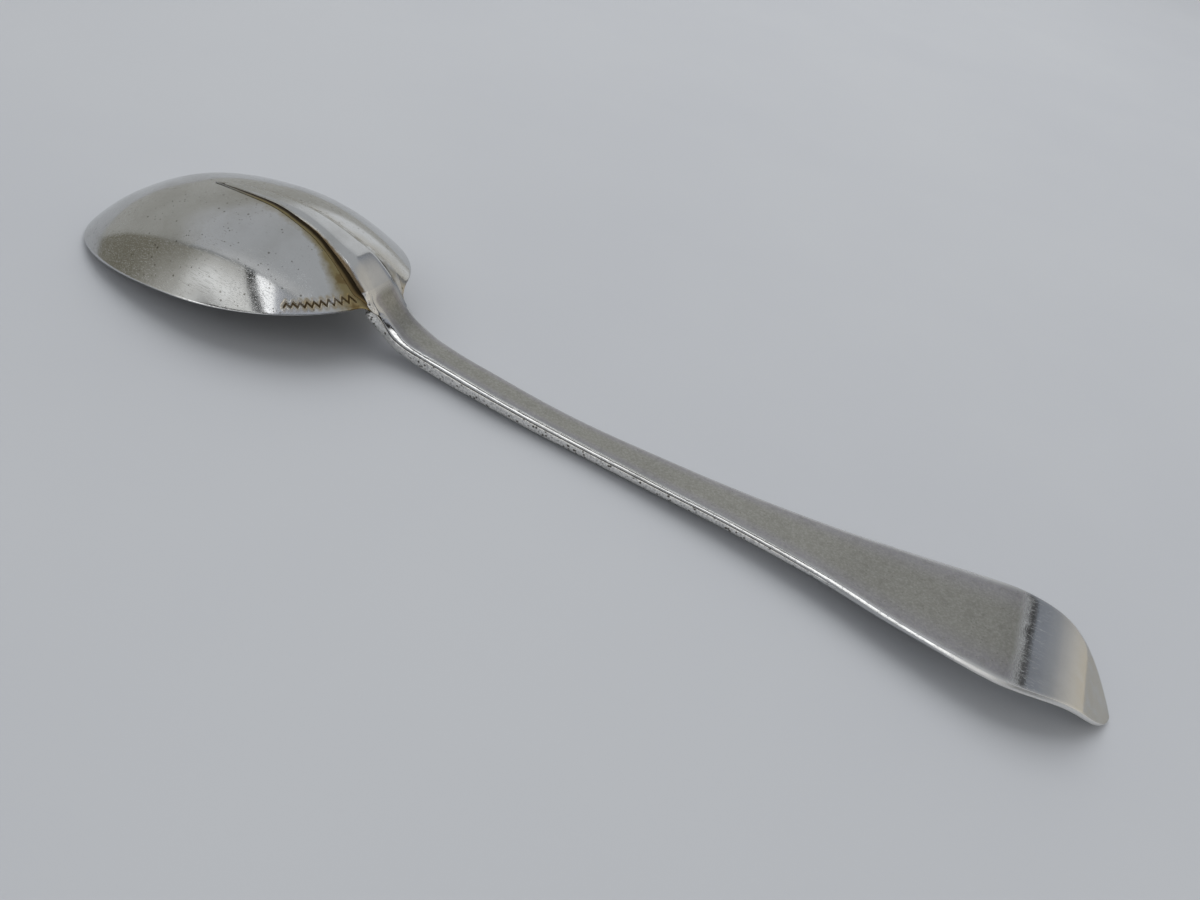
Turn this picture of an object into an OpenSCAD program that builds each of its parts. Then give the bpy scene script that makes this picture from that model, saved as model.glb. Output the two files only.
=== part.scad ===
// Rat-tail spoon, forged and soldered, lying face down on a table.
// Millimetres. X runs along the spoon: bowl tip at -X, handle end at +X.
// Z is up and the table is z = 0. The back of the bowl faces up.
// The spoon touches the table at the tip of the bowl and at the end of the handle.

/* [Whole spoon] */
// Length from the tip of the bowl to the end of the handle, measured along X
spoon_len = 205; // [185:1:225]
// Pitch of the bowl's rim plane, heel raised
rim_pitch = 9.1; // [8.6:0.1:9.6]

/* [Bowl] */
// Length of the bowl from tip to heel, along its rim
bowl_len = 70; // [64:0.5:75]
// Greatest width of the bowl
bowl_w = 43.8; // [39:0.2:48]
// Depth from the rim plane to the outside of the bottom
bowl_depth = 12; // [11:0.1:12.8]
// Thickness of the silver at the bottom of the bowl
bowl_t = 0.9; // [0.7:0.05:1.2]
// Width of the flat rim
rim_w = 1.15; // [0.9:0.05:1.4]
// How far the rim dips at the heel, under the rat-tail
heel_dip = 3.4; // [3:0.1:3.8]
// Width of the block under the neck at the bowl's heel
heel_w = 6; // [5.6:0.1:6.6]
// Wear of the rim's corner at the tip, where the bowl stands on the table
tip_wear = 0.06; // [0.05:0.01:0.1]

/* [Rat-tail] */
// Greatest height of the rat-tail over the bowl
tail_h = 2.55; // [2.2:0.05:2.8]
// Width of the rat-tail's foot where it meets the handle
tail_w = 8.8; // [8.2:0.1:9.4]

/* [Handle] */
// Width of the neck
neck_w = 5.6; // [5:0.1:6.2]
// Thickness of the neck just behind the bowl
neck_t = 4.5; // [4.1:0.1:4.9]
// Greatest width of the flat end
end_w = 21.6; // [18:0.2:24]
// Length of the rounded end
end_cap = 20.5; // [17:0.5:24]
// Height of the handle's back over the table at the start of the turned end
end_h = 7.5; // [7:0.1:8.5]
// Bevel along both edges of the handle's back
edge_bevel = 0.3; // [0.2:0.05:0.45]
// Sideways bend of the handle, left by forging and use
sway = 0.85; // [0:0.05:1.2]

/* [Solder] */
// Thickness of the solder under the rat-tail
solder_t = 0.12; // [0.1:0.01:0.2]
// Width of the solder's fillet beside the rat-tail, where it meets the handle
fillet_w = 1.5; // [1.2:0.1:1.9]
// Gap that keeps two neighbouring pieces apart
fit_gap = 0.05; // [0.04:0.01:0.07]

/* [Zig-zag cut] */
// Pitch of the zig-zag scraped into the bowl's back near the heel
zig_pitch = 1.16; // [1:0.02:1.3]
// Height of the zig-zag at its heel end, across its line
zig_h = 1.1; // [0.9:0.05:1.3]
// Radius of the scraped groove
zig_r = 0.2; // [0.16:0.02:0.24]

/* [Hidden] */

silver_pale = [0.80, 0.80, 0.81];
silver_grey = [0.74, 0.74, 0.73];
silver_mid = [0.77, 0.77, 0.77];
solder_yellow = [0.72, 0.66, 0.48];

// Smooth curve through a table
function piece_of(xs, x, i = 0) = (i >= len(xs) - 2 || x < xs[i + 1]) ? i : piece_of(xs, x, i + 1);
function rate(xs, ys, i) = (ys[i + 1] - ys[i]) / (xs[i + 1] - xs[i]);
function tangent(xs, ys, i) =
  i == 0 ? rate(xs, ys, 0) :
  i == len(xs) - 1 ? rate(xs, ys, len(xs) - 2) :
  (rate(xs, ys, i) * (xs[i] - xs[i - 1]) + rate(xs, ys, i - 1) * (xs[i + 1] - xs[i]))
    / (xs[i + 1] - xs[i - 1]);
function hermite(t, a, b, ta, tb) =
  a * (2 * t * t * t - 3 * t * t + 1) + ta * (t * t * t - 2 * t * t + t)
  + b * (3 * t * t - 2 * t * t * t) + tb * (t * t * t - t * t);
function smooth(xs, ys, x) =
  let (i = piece_of(xs, x), w = xs[i + 1] - xs[i], t = (x - xs[i]) / w)
  hermite(t, ys[i], ys[i + 1], tangent(xs, ys, i) * w, tangent(xs, ys, i + 1) * w);
function mix(a, b, t) = a + (b - a) * t;
function reversed(list) = [for (i = [len(list) - 1:-1:0]) list[i]];

// Bowl: outline round the deepest point, and the height of its back over the rim plane
deep_share = 0.557;
deep_u = bowl_len * deep_share;
tip_reach = deep_u;
heel_reach = bowl_len - deep_u;
tip_power = 2.39;
heel_power = 1.97;
back_power = 2.55;
inner_power = 2.6;
dip_angle = 9.5;
dip_power = 6;
function super(c, s, reach, half, power) =
  1 / pow(pow(abs(c) / reach, power) + pow(abs(s) / half, power), 1 / power);
function outline(a, half, reach_t, reach_h) =
  let (c = cos(a), s = sin(a))
  c < 0 ? super(c, s, reach_t, half, tip_power) : super(c, s, reach_h, half, heel_power);
function rim_r(a) = outline(a, bowl_w / 2, tip_reach, heel_reach);
function fold(a) = a > 180 ? a - 360 : a;
function dip(a, q) = heel_dip * exp(-pow(abs(fold(a)) / dip_angle, 4)) * pow(q, dip_power);
function back_n(u, v) =
  let (du = u - deep_u, a = atan2(v, du), q = min(norm([du, v]) / rim_r(a), 1))
  bowl_depth * (1 - pow(q, back_power)) - dip(a, q);

// From the bowl's own frame, tip at the origin and rim plane flat, to the table
// The rim's corner is worn flat where it stands on the table
shift_x = -spoon_len / 2;
function worn(z) = z < tip_wear ? 0 : z;
function placed(u, v, n) =
  let (x = shift_x + u * cos(rim_pitch) - n * sin(rim_pitch), z = u * sin(rim_pitch) + n * cos(rim_pitch))
  [x, v, worn(z)];

// Solid between an upper and a lower grid of points
module sheet(upper, lower) {
  rows = len(upper);
  cols = len(upper[0]);
  count = rows * cols;
  points = concat([for (r = upper) for (p = r) p], [for (r = lower) for (p = r) p]);
  top_faces = [for (r = [0:rows - 2]) for (c = [0:cols - 2]) each
    [[r * cols + c, (r + 1) * cols + c + 1, (r + 1) * cols + c],
     [r * cols + c, r * cols + c + 1, (r + 1) * cols + c + 1]]];
  under_faces = [for (f = top_faces) [f[0] + count, f[2] + count, f[1] + count]];
  rim = concat(
    [for (c = [0:cols - 1]) c],
    [for (r = [1:rows - 1]) r * cols + cols - 1],
    [for (c = [cols - 2:-1:0]) (rows - 1) * cols + c],
    [for (r = [rows - 2:-1:1]) r * cols]);
  walls = [for (i = [0:len(rim) - 1]) let (a = rim[i], b = rim[(i + 1) % len(rim)]) each
    [[a, b + count, b], [a, a + count, b + count]]];
  polyhedron(points = points, faces = concat(top_faces, under_faces, walls), convexity = 6);
}

// Shell of the bowl as rings round the deepest point
near_span = 14;
near_angles = [for (i = [-near_span:near_span]) i];
far_count = 56;
far_step = (360 - 2 * near_span) / far_count;
angles = concat(near_angles, [for (i = [1:far_count - 1]) near_span + i * far_step]);
ring_shares = [0.16, 0.3, 0.43, 0.54, 0.64, 0.73, 0.79, 0.84, 0.885, 0.925, 0.955, 0.98, 1];
function outer_point(a, q) =
  let (r = rim_r(a) * q)
  placed(deep_u + r * cos(a), r * sin(a), bowl_depth * (1 - pow(q, back_power)) - dip(a, q));
function inner_point(a, q) =
  let (r = outline(a, bowl_w / 2 - rim_w, tip_reach - rim_w, heel_reach - rim_w) * q)
  placed(deep_u + r * cos(a), r * sin(a), (bowl_depth - bowl_t) * (1 - pow(q, inner_power)) - dip(a, q));
module shell() {
  n = len(angles);
  m = len(ring_shares);
  outer = [for (q = ring_shares) for (a = angles) outer_point(a, q)];
  inner = [for (q = ring_shares) for (a = angles) inner_point(a, q)];
  outer_pole = placed(deep_u, 0, bowl_depth);
  inner_pole = placed(deep_u, 0, bowl_depth - bowl_t);
  points = concat(outer, inner, [outer_pole, inner_pole]);
  base = n * m;
  outer_faces = [for (k = [0:m - 2]) for (i = [0:n - 1]) let (j = (i + 1) % n) each
    [[k * n + i, k * n + j, (k + 1) * n + j], [k * n + i, (k + 1) * n + j, (k + 1) * n + i]]];
  inner_faces = [for (f = outer_faces) [base + f[0], base + f[2], base + f[1]]];
  pole_faces = [for (i = [0:n - 1]) let (j = (i + 1) % n) each
    [[2 * base, j, i], [2 * base + 1, base + i, base + j]]];
  last = (m - 1) * n;
  rim_faces = [for (i = [0:n - 1]) let (j = (i + 1) % n) each
    [[last + i, last + j, base + last + j], [last + i, base + last + j, base + last + i]]];
  polyhedron(points = points, faces = concat(outer_faces, inner_faces, pole_faces, rim_faces), convexity = 8);
}

// Crest of the neck and handle: height over the table, half width and thickness along X
heel_x = bowl_len * cos(rim_pitch);
heel_z = bowl_len * sin(rim_pitch);
reach_x = spoon_len - heel_x;
fall_x_shares = [-0.0200, -0.0075, 0.0020, 0.0100, 0.0210, 0.0320, 0.0435, 0.0655, 0.0950, 0.1700, 1];
fall_shares = [0.7536, 0.5820, 0.4495, 0.3610, 0.2620, 0.1900, 0.1345, 0.0580, 0.0170, 0, 0];
back_x_shares = [-0.0200, 0.0655, 0.1700, 0.3010, 0.4120, 0.5220, 0.6320, 0.7430, 0.8160, 0.8600,
  0.8900, 0.9040, 0.9190, 0.9340, 0.9490, 0.9640, 0.9790, 0.9930, 1];
back_z_shares = [0.6000, 0.6000, 0.5800, 0.5270, 0.5730, 0.6600, 0.7320, 0.7850, 0.8830, 0.9570,
  0.9970, 1.0000, 0.9780, 0.9110, 0.7860, 0.6080, 0.3950, 0.1890, 0.0990];
wide_x_shares = [-0.0200, 0, 0.0210, 0.0450, 0.0655, 0.1200, 0.2200, 0.3010, 0.4120, 0.5220, 0.6320, 0.7430,
  0.8160, 0.8600, 0.9000, 1];
neck_wide_shares = [0.8000, 0.8750, 0.9700, 1.0000, 0.9850, 0.9300, 0.9200, 1.0200, 0, 0, 0, 0, 0, 0, 0, 0];
end_wide_shares = [0, 0, 0, 0, 0, 0, 0, 0.0020, 0.3150, 0.3800, 0.5300, 0.7980,
  0.9450, 1.0100, 1.0300, 1.0400];
thick_x_shares = [0, 0.0210, 0.0435, 0.0655, 0.0950, 0.1700, 0.3010, 0.4120, 0.5220, 0.6320, 0.7430,
  0.8160, 0.9000, 1];
thick_shares = [1.0800, 0.9500, 0.8600, 0.8050, 0.7850, 0.7600, 0.7600, 0.7700, 0.6800, 0.5100, 0.3850,
  0.3150, 0.2600, 0.2000];
sway_x_shares = [-0.0200, 0.0105, 0.0200, 0.0400, 0.1000, 0.1700, 0.2400, 0.3100, 0.4000, 0.5000, 0.6000,
  0.7000, 0.8000, 0.9000, 1];
sway_shares = [-0.3500, -0.3500, -0.3600, -0.4000, -0.5500, -0.8500, -1.0000, -0.9000, -0.5500, -0.2000,
  0.1000, 0.3200, 0.5200, 0.7000, 0.8500];
cap_power = 1.78;
bulge_share = 0.05;

function crest_z(s) =
  heel_z * smooth(fall_x_shares, fall_shares, s) + end_h * smooth(back_x_shares, back_z_shares, s);
slope_step_share = 0.0015;
function slope(s) =
  let (m = min(max(s, fall_x_shares[0] + slope_step_share), 1 - slope_step_share))
  (crest_z(m + slope_step_share) - crest_z(m - slope_step_share)) / (2 * slope_step_share * reach_x);
function crest(s) = [heel_x + s * reach_x, crest_z(s)];
function inward(s) = let (g = slope(s), k = norm([1, g])) [g / k, -1 / k];
cap_share = end_cap / reach_x;
function cap_at(s) = min(max((s - 1 + cap_share) / cap_share, 0), 0.9985);
function half_w(s) =
  (neck_w / 2 * smooth(wide_x_shares, neck_wide_shares, s)
    + end_w / 2 * smooth(wide_x_shares, end_wide_shares, s))
  * pow(1 - pow(cap_at(s), cap_power), 1 / cap_power);
function thick(s) = neck_t * smooth(thick_x_shares, thick_shares, max(s, 0));
function bend(s) = sway * smooth(sway_x_shares, sway_shares, s);

// Point of the side view, x and z over the table, at a distance y from the middle
function side(p, y) = [shift_x + p[0], y, p[1]];
function flat(p) = [p[0] - shift_x, p[2]];

// Where the pieces part. The rat-tail ends and the handle starts at the scarf.
scarf_share = -0.0185;
heel_share = 0.0105;
tab_share = 0.0690;
scarf_u_share = 0.9520;
lift = solder_t + 2 * fit_gap;
rim_heel = flat(placed(bowl_len, 0, -heel_dip));
tab_end = crest(tab_share) + inward(tab_share) * (thick(tab_share) - fit_gap);
tab_dir = (tab_end - rim_heel) / norm(tab_end - rim_heel);
tab_up = [-tab_dir[1], tab_dir[0]];

// Rat-tail and its foot along the bowl
tail_u_shares = [0.4200, 0.4450, 0.5000, 0.5800, 0.6600, 0.7400, 0.8100, 0.8700, 0.9200, 0.9520, 1];
tail_h_shares = [0.0100, 0.0500, 0.1400, 0.1800, 0.2250, 0.3330, 0.4100, 0.6000, 0.9900, 1.0000, 1];
near_foot_shares = [0.0250, 0.0800, 0.1700, 0.2570, 0.3200, 0.4900, 0.6070, 0.8180, 0.9480, 1.0000, 0.7300];
far_foot_shares = [0.0250, 0.0750, 0.1600, 0.2400, 0.3100, 0.4200, 0.5000, 0.6400, 0.8000, 0.8400, 0.7300];
crown_shares = [0.0100, 0.0400, 0.1180, 0.1800, 0.2300, 0.2660, 0.3180, 0.3750, 0.3900, 0.4320, 0.5000];
fillet_shares = [0.0400, 0.0800, 0.2500, 0.4500, 0.5800, 0.6300, 0.6600, 0.6300, 0.8500, 0.9500, 0];
function foot_share(g, shares) =
  g > scarf_u_share ? mix(shares[9], shares[10], (g - scarf_u_share) / (1 - scarf_u_share)) :
  smooth(tail_u_shares, shares, g);
function foot(g, m) = tail_w / 2 * foot_share(g, m < 0 ? near_foot_shares : far_foot_shares);
function tail_shift(g) = bend(scarf_share) * smooth(lean_u_shares, shift_shares, min(g, scarf_u_share));
function crown(g) = tail_w / 2 * smooth(tail_u_shares, crown_shares, g);
function fillet(g) = fillet_w * smooth(tail_u_shares, fillet_shares, g);

// Path of the rat-tail's crest in the bowl's frame, ending on the crest of the neck
scarf_crest = crest(scarf_share);
scarf_u = scarf_crest[0] * cos(rim_pitch) + scarf_crest[1] * sin(rim_pitch);
scarf_n = scarf_crest[1] * cos(rim_pitch) - scarf_crest[0] * sin(rim_pitch);
crest_us = concat([for (i = [0:8]) tail_u_shares[i] * bowl_len], [scarf_u]);
crest_ns = concat([for (i = [0:8]) back_n(crest_us[i], 0) + tail_h * tail_h_shares[i]], [scarf_n]);
lean_u_shares = [0, 0.74, 0.81, 0.87, 0.92, 0.952];
lean_shares = [0, 0, 0.08, 0.35, 0.8, 1];
shift_shares = [0, 0.1, 0.33, 0.65, 0.9, 1];
function lean(g) = (scarf_u - scarf_u_share * bowl_len) * smooth(lean_u_shares, lean_shares, g);
function tail_crest(g) =
  let (u = min(g * bowl_len + lean(g), scarf_u))
  flat(placed(u, 0, smooth(crest_us, crest_ns, u)));
function on_back(u, y, height) = placed(u, y, back_n(u, y) + height);

// Rat-tail: rows across it, from its point to the scarf
flank_y_shares = [0, 0.34, 0.68, 1, 0.25, 0.64, 1];
flank_h_shares = [1, 1, 0.995, 0.97, 0.87, 0.58, 0.26];
function tail_y(g, i) =
  let (k = abs(i), f = foot(g, i), c = min(crown(g), 0.9 * f),
    y = k <= 3 ? c * flank_y_shares[k] : mix(c, f, flank_y_shares[k]))
  tail_shift(g) + (i < 0 ? -y : y);
function tail_top(g, i) =
  let (k = abs(i), y = tail_y(g, i), b = on_back(g * bowl_len, y, lift), c = side(tail_crest(g), y))
  mix(b, c, flank_h_shares[k]);
tail_row_shares = [0.422, 0.428, 0.436, 0.446, 0.46, 0.48, 0.5, 0.525, 0.55, 0.58, 0.61, 0.64, 0.67, 0.7,
  0.725, 0.75, 0.77, 0.79, 0.81, 0.825, 0.84, 0.855, 0.868, 0.88, 0.892, 0.904, 0.914, 0.924, 0.934,
  0.943, 0.952];
module rat_tail() {
  color(silver_pale)
    sheet(
      [for (g = tail_row_shares) [for (i = [-6:6]) tail_top(g, i)]],
      [for (g = tail_row_shares) [for (i = [-6:6]) on_back(g * bowl_len, tail_y(g, i), lift)]]);
}

// Solder: a film under the rat-tail and the neck, with a fillet along the foot
heel_step_shares = [0, 0.14, 0.28, 0.42, 0.55, 0.68, 0.8, 0.92];
lap_row_shares = [for (k = [1:7]) mix(scarf_u_share, 1, heel_step_shares[k])];
tab_row_shares = [0.03, 0.12, 0.24, 0.38, 0.52, 0.66, 0.8, 0.93];
rise_u_shares = [0.42, 0.445, 0.5, 0.66, 0.81, 0.87, 0.9, 0.93, 0.952, 1];
rise_h_shares = [0.003, 0.006, 0.025, 0.05, 0.08, 0.12, 0.13, 0.1, 0.05, 0];
film_cols = concat([for (i = [-9:-1]) i], [for (i = [1:9]) i]);
film_shares = [0, 0.25, 0.5, 0.78, 1];
fillet_start_share = 1.6;
function film_y(g, i) =
  let (k = abs(i), f = foot(g, i), start = f + fillet_start_share * fit_gap,
    y = k <= 4 ? f * film_shares[k] : k == 5 ? f + fit_gap : start + fillet(g) * (k - 6) / 3)
  tail_shift(g) + (i < 0 ? -y : y);
function fillet_h(g) = tail_h * smooth(rise_u_shares, rise_h_shares, g);
rise_shares = [0, 0, 0, 0, 0, 0, 1, 0.42, 0.14, 0];
function film_top(g, i) =
  let (k = abs(i), skin = k == 9 ? solder_t / 3 : solder_t)
  on_back(g * bowl_len, film_y(g, i), fit_gap + skin + rise_shares[k] * fillet_h(g));
function tab_half(t) = mix(heel_w / 2, half_w(mix(heel_share, tab_share, t)), t);
function tab_point(t, y, height) = side(mix(rim_heel, tab_end, t) + tab_up * height, y);
function tab_film_y(t, i) =
  let (k = abs(i), y = tab_half(t) * film_shares[min(k, 4)] + max(k - 4, 0) * 0.25 * fit_gap)
  bend(mix(heel_share, tab_share, t)) + (i < 0 ? -y : y);
module solder() {
  film_rows = concat(tail_row_shares, lap_row_shares);
  color(solder_yellow)
    sheet(
      concat(
        [for (g = film_rows) [for (i = film_cols) film_top(g, i)]],
        [for (t = tab_row_shares)
          [for (i = film_cols) tab_point(t, tab_film_y(t, i), fit_gap + solder_t)]]),
      concat(
        [for (g = film_rows) [for (i = film_cols) on_back(g * bowl_len, film_y(g, i), fit_gap)]],
        [for (t = tab_row_shares) [for (i = film_cols) tab_point(t, tab_film_y(t, i), fit_gap)]]));
}

// Handle: rows of eight points over and eight points under
function bulge(s) = bulge_share * thick(s);
function bevel(s) = min(edge_bevel, 0.3 * half_w(s), 0.35 * thick(s));
lap_share = 0.5 * (tab_share - heel_share);
function lap_side(s) = s <= heel_share ? 1 : max(1 - (s - heel_share) / lap_share, 0);
function lap_under(s) = s <= tab_share ? 1 : max(1 - (s - tab_share) / lap_share, 0);
function foot_at(s, m) =
  let (t = (s - scarf_share) / (heel_share - scarf_share))
  foot(s <= heel_share ? mix(scarf_u_share, 1, t) : 1, m);
function over_y(s, k, m) =
  let (w = half_w(s), c = w - bevel(s), f = foot_at(s, m), l = lap_side(s))
  k == 3 ? c :
  k == 2 ? mix(w, mix(c, f, 0.25), l) :
  k == 1 ? mix(w + 0.8 * bulge(s), mix(c, f, 0.64), l) :
  mix(w + bulge(s), f, l);
function over_share(s, k) =
  let (l = lap_side(s))
  k == 3 ? 0 :
  k == 2 ? mix(bevel(s) / thick(s), 0.13, l) :
  k == 1 ? mix(0.26, 0.42, l) :
  mix(0.48, 0.74, l);
function under_y(s, k, m) =
  let (w = half_w(s), t = thick(s), f = mix(w, foot_at(s, m), lap_side(s)), l = lap_under(s))
  k == 3 ? mix(0.4 * w, 0.25 * f, l) :
  k == 2 ? mix(max(w - 0.16 * t, 0.6 * w), 0.5 * f, l) :
  k == 1 ? mix(max(w - 0.04 * t, 0.8 * w), 0.78 * f, l) :
  over_y(s, 0, m);
function under_share(s, k) =
  let (l = lap_under(s))
  k == 3 ? 1 :
  k == 2 ? mix(0.985, 1, l) :
  k == 1 ? mix(0.91, 1, l) :
  mix(0.66, 1, l);

// Middle of the handle's underside, point of the side view
function under_mid(s, g, t) =
  g < 1 ? flat(on_back(g * bowl_len, 0, lift)) :
  t < 1 ? mix(rim_heel, tab_end, t) + tab_up * lift :
  crest(s) + inward(s) * thick(s);
// Point of the underside: over the bowl it follows the bowl, elsewhere it is level across
function under_point(s, g, t, k, m) =
  let (y = m * under_y(s, k, m) + bend(s))
  g < 1 ? on_back(g * bowl_len, y, lift) :
  side(mix(crest(s), under_mid(s, g, t), under_share(s, k)), y);
function over_point(s, g, t, k, m) =
  let (y = m * over_y(s, k, m) + bend(s))
  g < 1 ? mix(side(crest(s), y), on_back(g * bowl_len, y, lift), over_share(s, k)) :
  side(mix(crest(s), under_mid(s, g, t), over_share(s, k)), y);
scarf_gap_share = fit_gap / reach_x;
heel_gap_share = 1.3 * fit_gap / bowl_len;
heel_rows = [for (h = heel_step_shares)
  [mix(scarf_share + scarf_gap_share, heel_share, h), mix(scarf_u_share + heel_gap_share, 1, h), 0]];
neck_t_shares = [0.03, 0.12, 0.24, 0.38, 0.52, 0.66, 0.82];
neck_rows = [for (t = neck_t_shares) [mix(heel_share, tab_share, t), 1, t]];
shaft_shares = [0.072, 0.079, 0.087, 0.097, 0.11, 0.13, 0.155, 0.185, 0.22, 0.26, 0.3, 0.34, 0.38, 0.42, 0.46,
  0.5, 0.54, 0.58, 0.61, 0.64, 0.67, 0.7, 0.73, 0.76, 0.79, 0.815, 0.84, 0.858, 0.872, 0.884, 0.894, 0.904,
  0.914, 0.924, 0.934, 0.944, 0.954, 0.963, 0.971, 0.978, 0.984, 0.989, 0.993, 0.997, 1];
shaft_rows = [for (s = shaft_shares) [s, 1, 1]];
module stem() {
  rows = concat(heel_rows, neck_rows, shaft_rows);
  color(silver_grey)
    sheet(
      [for (r = rows) concat(
        [for (k = [0:3]) over_point(r[0], r[1], r[2], k, -1)],
        [for (k = [3:-1:0]) over_point(r[0], r[1], r[2], k, 1)])],
      [for (r = rows) concat(
        [for (k = [0:3]) under_point(r[0], r[1], r[2], k, -1)],
        [for (k = [3:-1:0]) under_point(r[0], r[1], r[2], k, 1)])]);
}

// Block at the bowl's heel: it backs the neck and ends in a short drop inside the bowl
// and in a tab under the neck
block_x_shares = [-0.0165, -0.0125, -0.0075, 0, 0.0105, 0.0195, 0.029, 0.0385, 0.048, 0.058, 0.066];
block_depth_shares = [0.62, 0.82, 1.0, 1.08, 1.07, 1.0, 0.955, 0.92, 0.89, 0.85, 0.826];
block_back_shares = [0.9420, 0.9550, 0.9680, 0.9820, 0.9940];
block_wide_shares = [0.95, 1.0, 1.0, 0.98, 0.95];
function block_at(j) = (block_x_shares[j] - heel_share) / (tab_share - heel_share);
function block_half(j) = j < 5 ? heel_w / 2 * block_wide_shares[j] : tab_half(block_at(j));
function block_back(j, y) =
  j < 5 ? on_back(block_back_shares[j] * bowl_len, y, -0.5 * bowl_t) :
  side(mix(rim_heel, tab_end, block_at(j)), y);
function block_front(j) =
  crest(block_x_shares[j]) + inward(block_x_shares[j]) * (neck_t * block_depth_shares[j]);
block_y_shares = [1, 0.94, 0.76, 0.3, -0.3, -0.76, -0.94, -1];
block_rise_shares = [0.42, 0.16, 0.03, 0, 0, 0.03, 0.16, 0.42];
function block_y(j, k) = bend(block_x_shares[j]) - block_half(j) * block_y_shares[k];
function block_low(j, k) =
  mix(side(block_front(j), block_y(j, k)), block_back(j, block_y(j, k)), block_rise_shares[k]);
module heel_block() {
  js = [for (j = [0:len(block_x_shares) - 1]) j];
  sheet(
    [for (j = js) [for (k = [0:7]) block_back(j, block_y(j, k))]],
    [for (j = js) [for (k = [0:7]) block_low(j, k)]]);
}

// Zig-zag scraped into the back of the bowl, along its rim near the heel
zig_a1 = -37.9;
zig_a2 = -13.4;
zig_inset = 1.1;
zig_taper_share = 0.5;
zig_rise_share = 0.7;
zig_mid_r = rim_r((zig_a1 + zig_a2) / 2);
zig_count = floor((zig_a2 - zig_a1) * PI / 180 * zig_mid_r / zig_pitch * 2);
groove_sides = 6;
function zig_point(i) =
  let (a = mix(zig_a1, zig_a2, i / zig_count), h = zig_h * mix(zig_taper_share, 1, i / zig_count),
    r = rim_r(a) - zig_inset - (i % 2 == 0 ? 0 : zig_rise_share * h))
  outer_point(a, r / rim_r(a));
module groove(i) {
  hull() {
    translate(zig_point(i)) sphere(r = zig_r, $fn = groove_sides);
    translate(zig_point(i + 1)) sphere(r = zig_r, $fn = groove_sides);
  }
}
module bowl() {
  color(silver_mid)
    difference() {
      union() {
        shell();
        heel_block();
      }
      for (i = [0:zig_count - 1]) groove(i);
    }
}

bowl();
rat_tail();
stem();
solder();
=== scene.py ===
import math

import bpy
import numpy as np
from mathutils import Matrix, Vector


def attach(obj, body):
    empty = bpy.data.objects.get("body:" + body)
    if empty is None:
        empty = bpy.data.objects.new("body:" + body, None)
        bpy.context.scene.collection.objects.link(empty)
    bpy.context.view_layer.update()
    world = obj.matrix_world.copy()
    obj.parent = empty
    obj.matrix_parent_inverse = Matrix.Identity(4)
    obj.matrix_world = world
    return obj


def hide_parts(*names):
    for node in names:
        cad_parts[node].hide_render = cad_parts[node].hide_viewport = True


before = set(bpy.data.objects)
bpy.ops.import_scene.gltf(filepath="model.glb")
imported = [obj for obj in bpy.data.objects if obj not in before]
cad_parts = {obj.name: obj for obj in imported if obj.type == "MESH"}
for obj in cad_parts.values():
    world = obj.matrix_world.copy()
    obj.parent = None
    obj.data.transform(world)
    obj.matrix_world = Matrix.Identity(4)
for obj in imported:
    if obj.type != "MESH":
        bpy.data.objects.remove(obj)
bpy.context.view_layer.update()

# Rat-tail spoon lying face down. The smooth pieces follow the part's own sizes, in millimetres.
MM = 0.001

# Whole spoon
SPOON_LEN = 205.0
RIM_PITCH = math.radians(9.1)

# Bowl
BOWL_LEN = 70.0
BOWL_W = 43.8
BOWL_DEPTH = 12.0
BOWL_T = 0.9
RIM_W = 1.15
HEEL_DIP = 3.4
HEEL_W = 6.0

# Rat-tail
TAIL_H = 2.55
TAIL_W = 8.8

# Handle
NECK_W = 5.6
NECK_T = 4.5
END_W = 21.6
END_CAP = 20.5
END_H = 7.5
EDGE_BEVEL = 0.3
SWAY = 0.85

# Solder
SOLDER_T = 0.12
FILLET_W = 1.5
FIT_GAP = 0.05
LIFT = SOLDER_T + 2 * FIT_GAP

# Zig-zag cut
ZIG_PITCH = 1.16
ZIG_H = 1.1
ZIG_R = 0.2
ZIG_DEPTH = 0.16
ZIG_START = math.radians(-37.9)
ZIG_END = math.radians(-13.4)
ZIG_INSET = 1.1
ZIG_TAPER = 0.42
ZIG_RISE = 0.92


# Shape functions

def curve(xs, ys, x):
    """Smooth curve through a table, the same as the part's."""
    xs = np.asarray(xs, float)
    ys = np.asarray(ys, float)
    x = np.asarray(x, float)
    steps = np.diff(xs)
    rates = np.diff(ys) / steps
    tangents = np.empty_like(ys)
    tangents[0] = rates[0]
    tangents[-1] = rates[-1]
    tangents[1:-1] = (rates[1:] * steps[:-1] + rates[:-1] * steps[1:]) / (steps[:-1] + steps[1:])
    i = np.clip(np.searchsorted(xs, x, side="right") - 1, 0, len(xs) - 2)
    w = steps[i]
    t = (x - xs[i]) / w
    a = ys[i] * (2 * t**3 - 3 * t**2 + 1) + tangents[i] * w * (t**3 - 2 * t**2 + t)
    b = ys[i + 1] * (3 * t**2 - 2 * t**3) + tangents[i + 1] * w * (t**3 - t**2)
    return a + b


def mix(a, b, t):
    return a + (b - a) * t


def ramp(x, lo, hi):
    """0 below lo, 1 above hi, smooth between."""
    t = np.clip((np.asarray(x, float) - lo) / (hi - lo), 0, 1)
    return t * t * (3 - 2 * t)


DEEP_U = BOWL_LEN * 0.557
TIP_REACH = DEEP_U
HEEL_REACH = BOWL_LEN - DEEP_U
TIP_POWER = 2.39
HEEL_POWER = 1.97
BACK_POWER = 2.55
INNER_POWER = 2.6
DIP_ANGLE_NEAR = math.radians(9.5)
DIP_ANGLE_FAR = math.radians(6.6)
DIP_POWER = 6
SHIFT_X = -SPOON_LEN / 2


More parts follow.
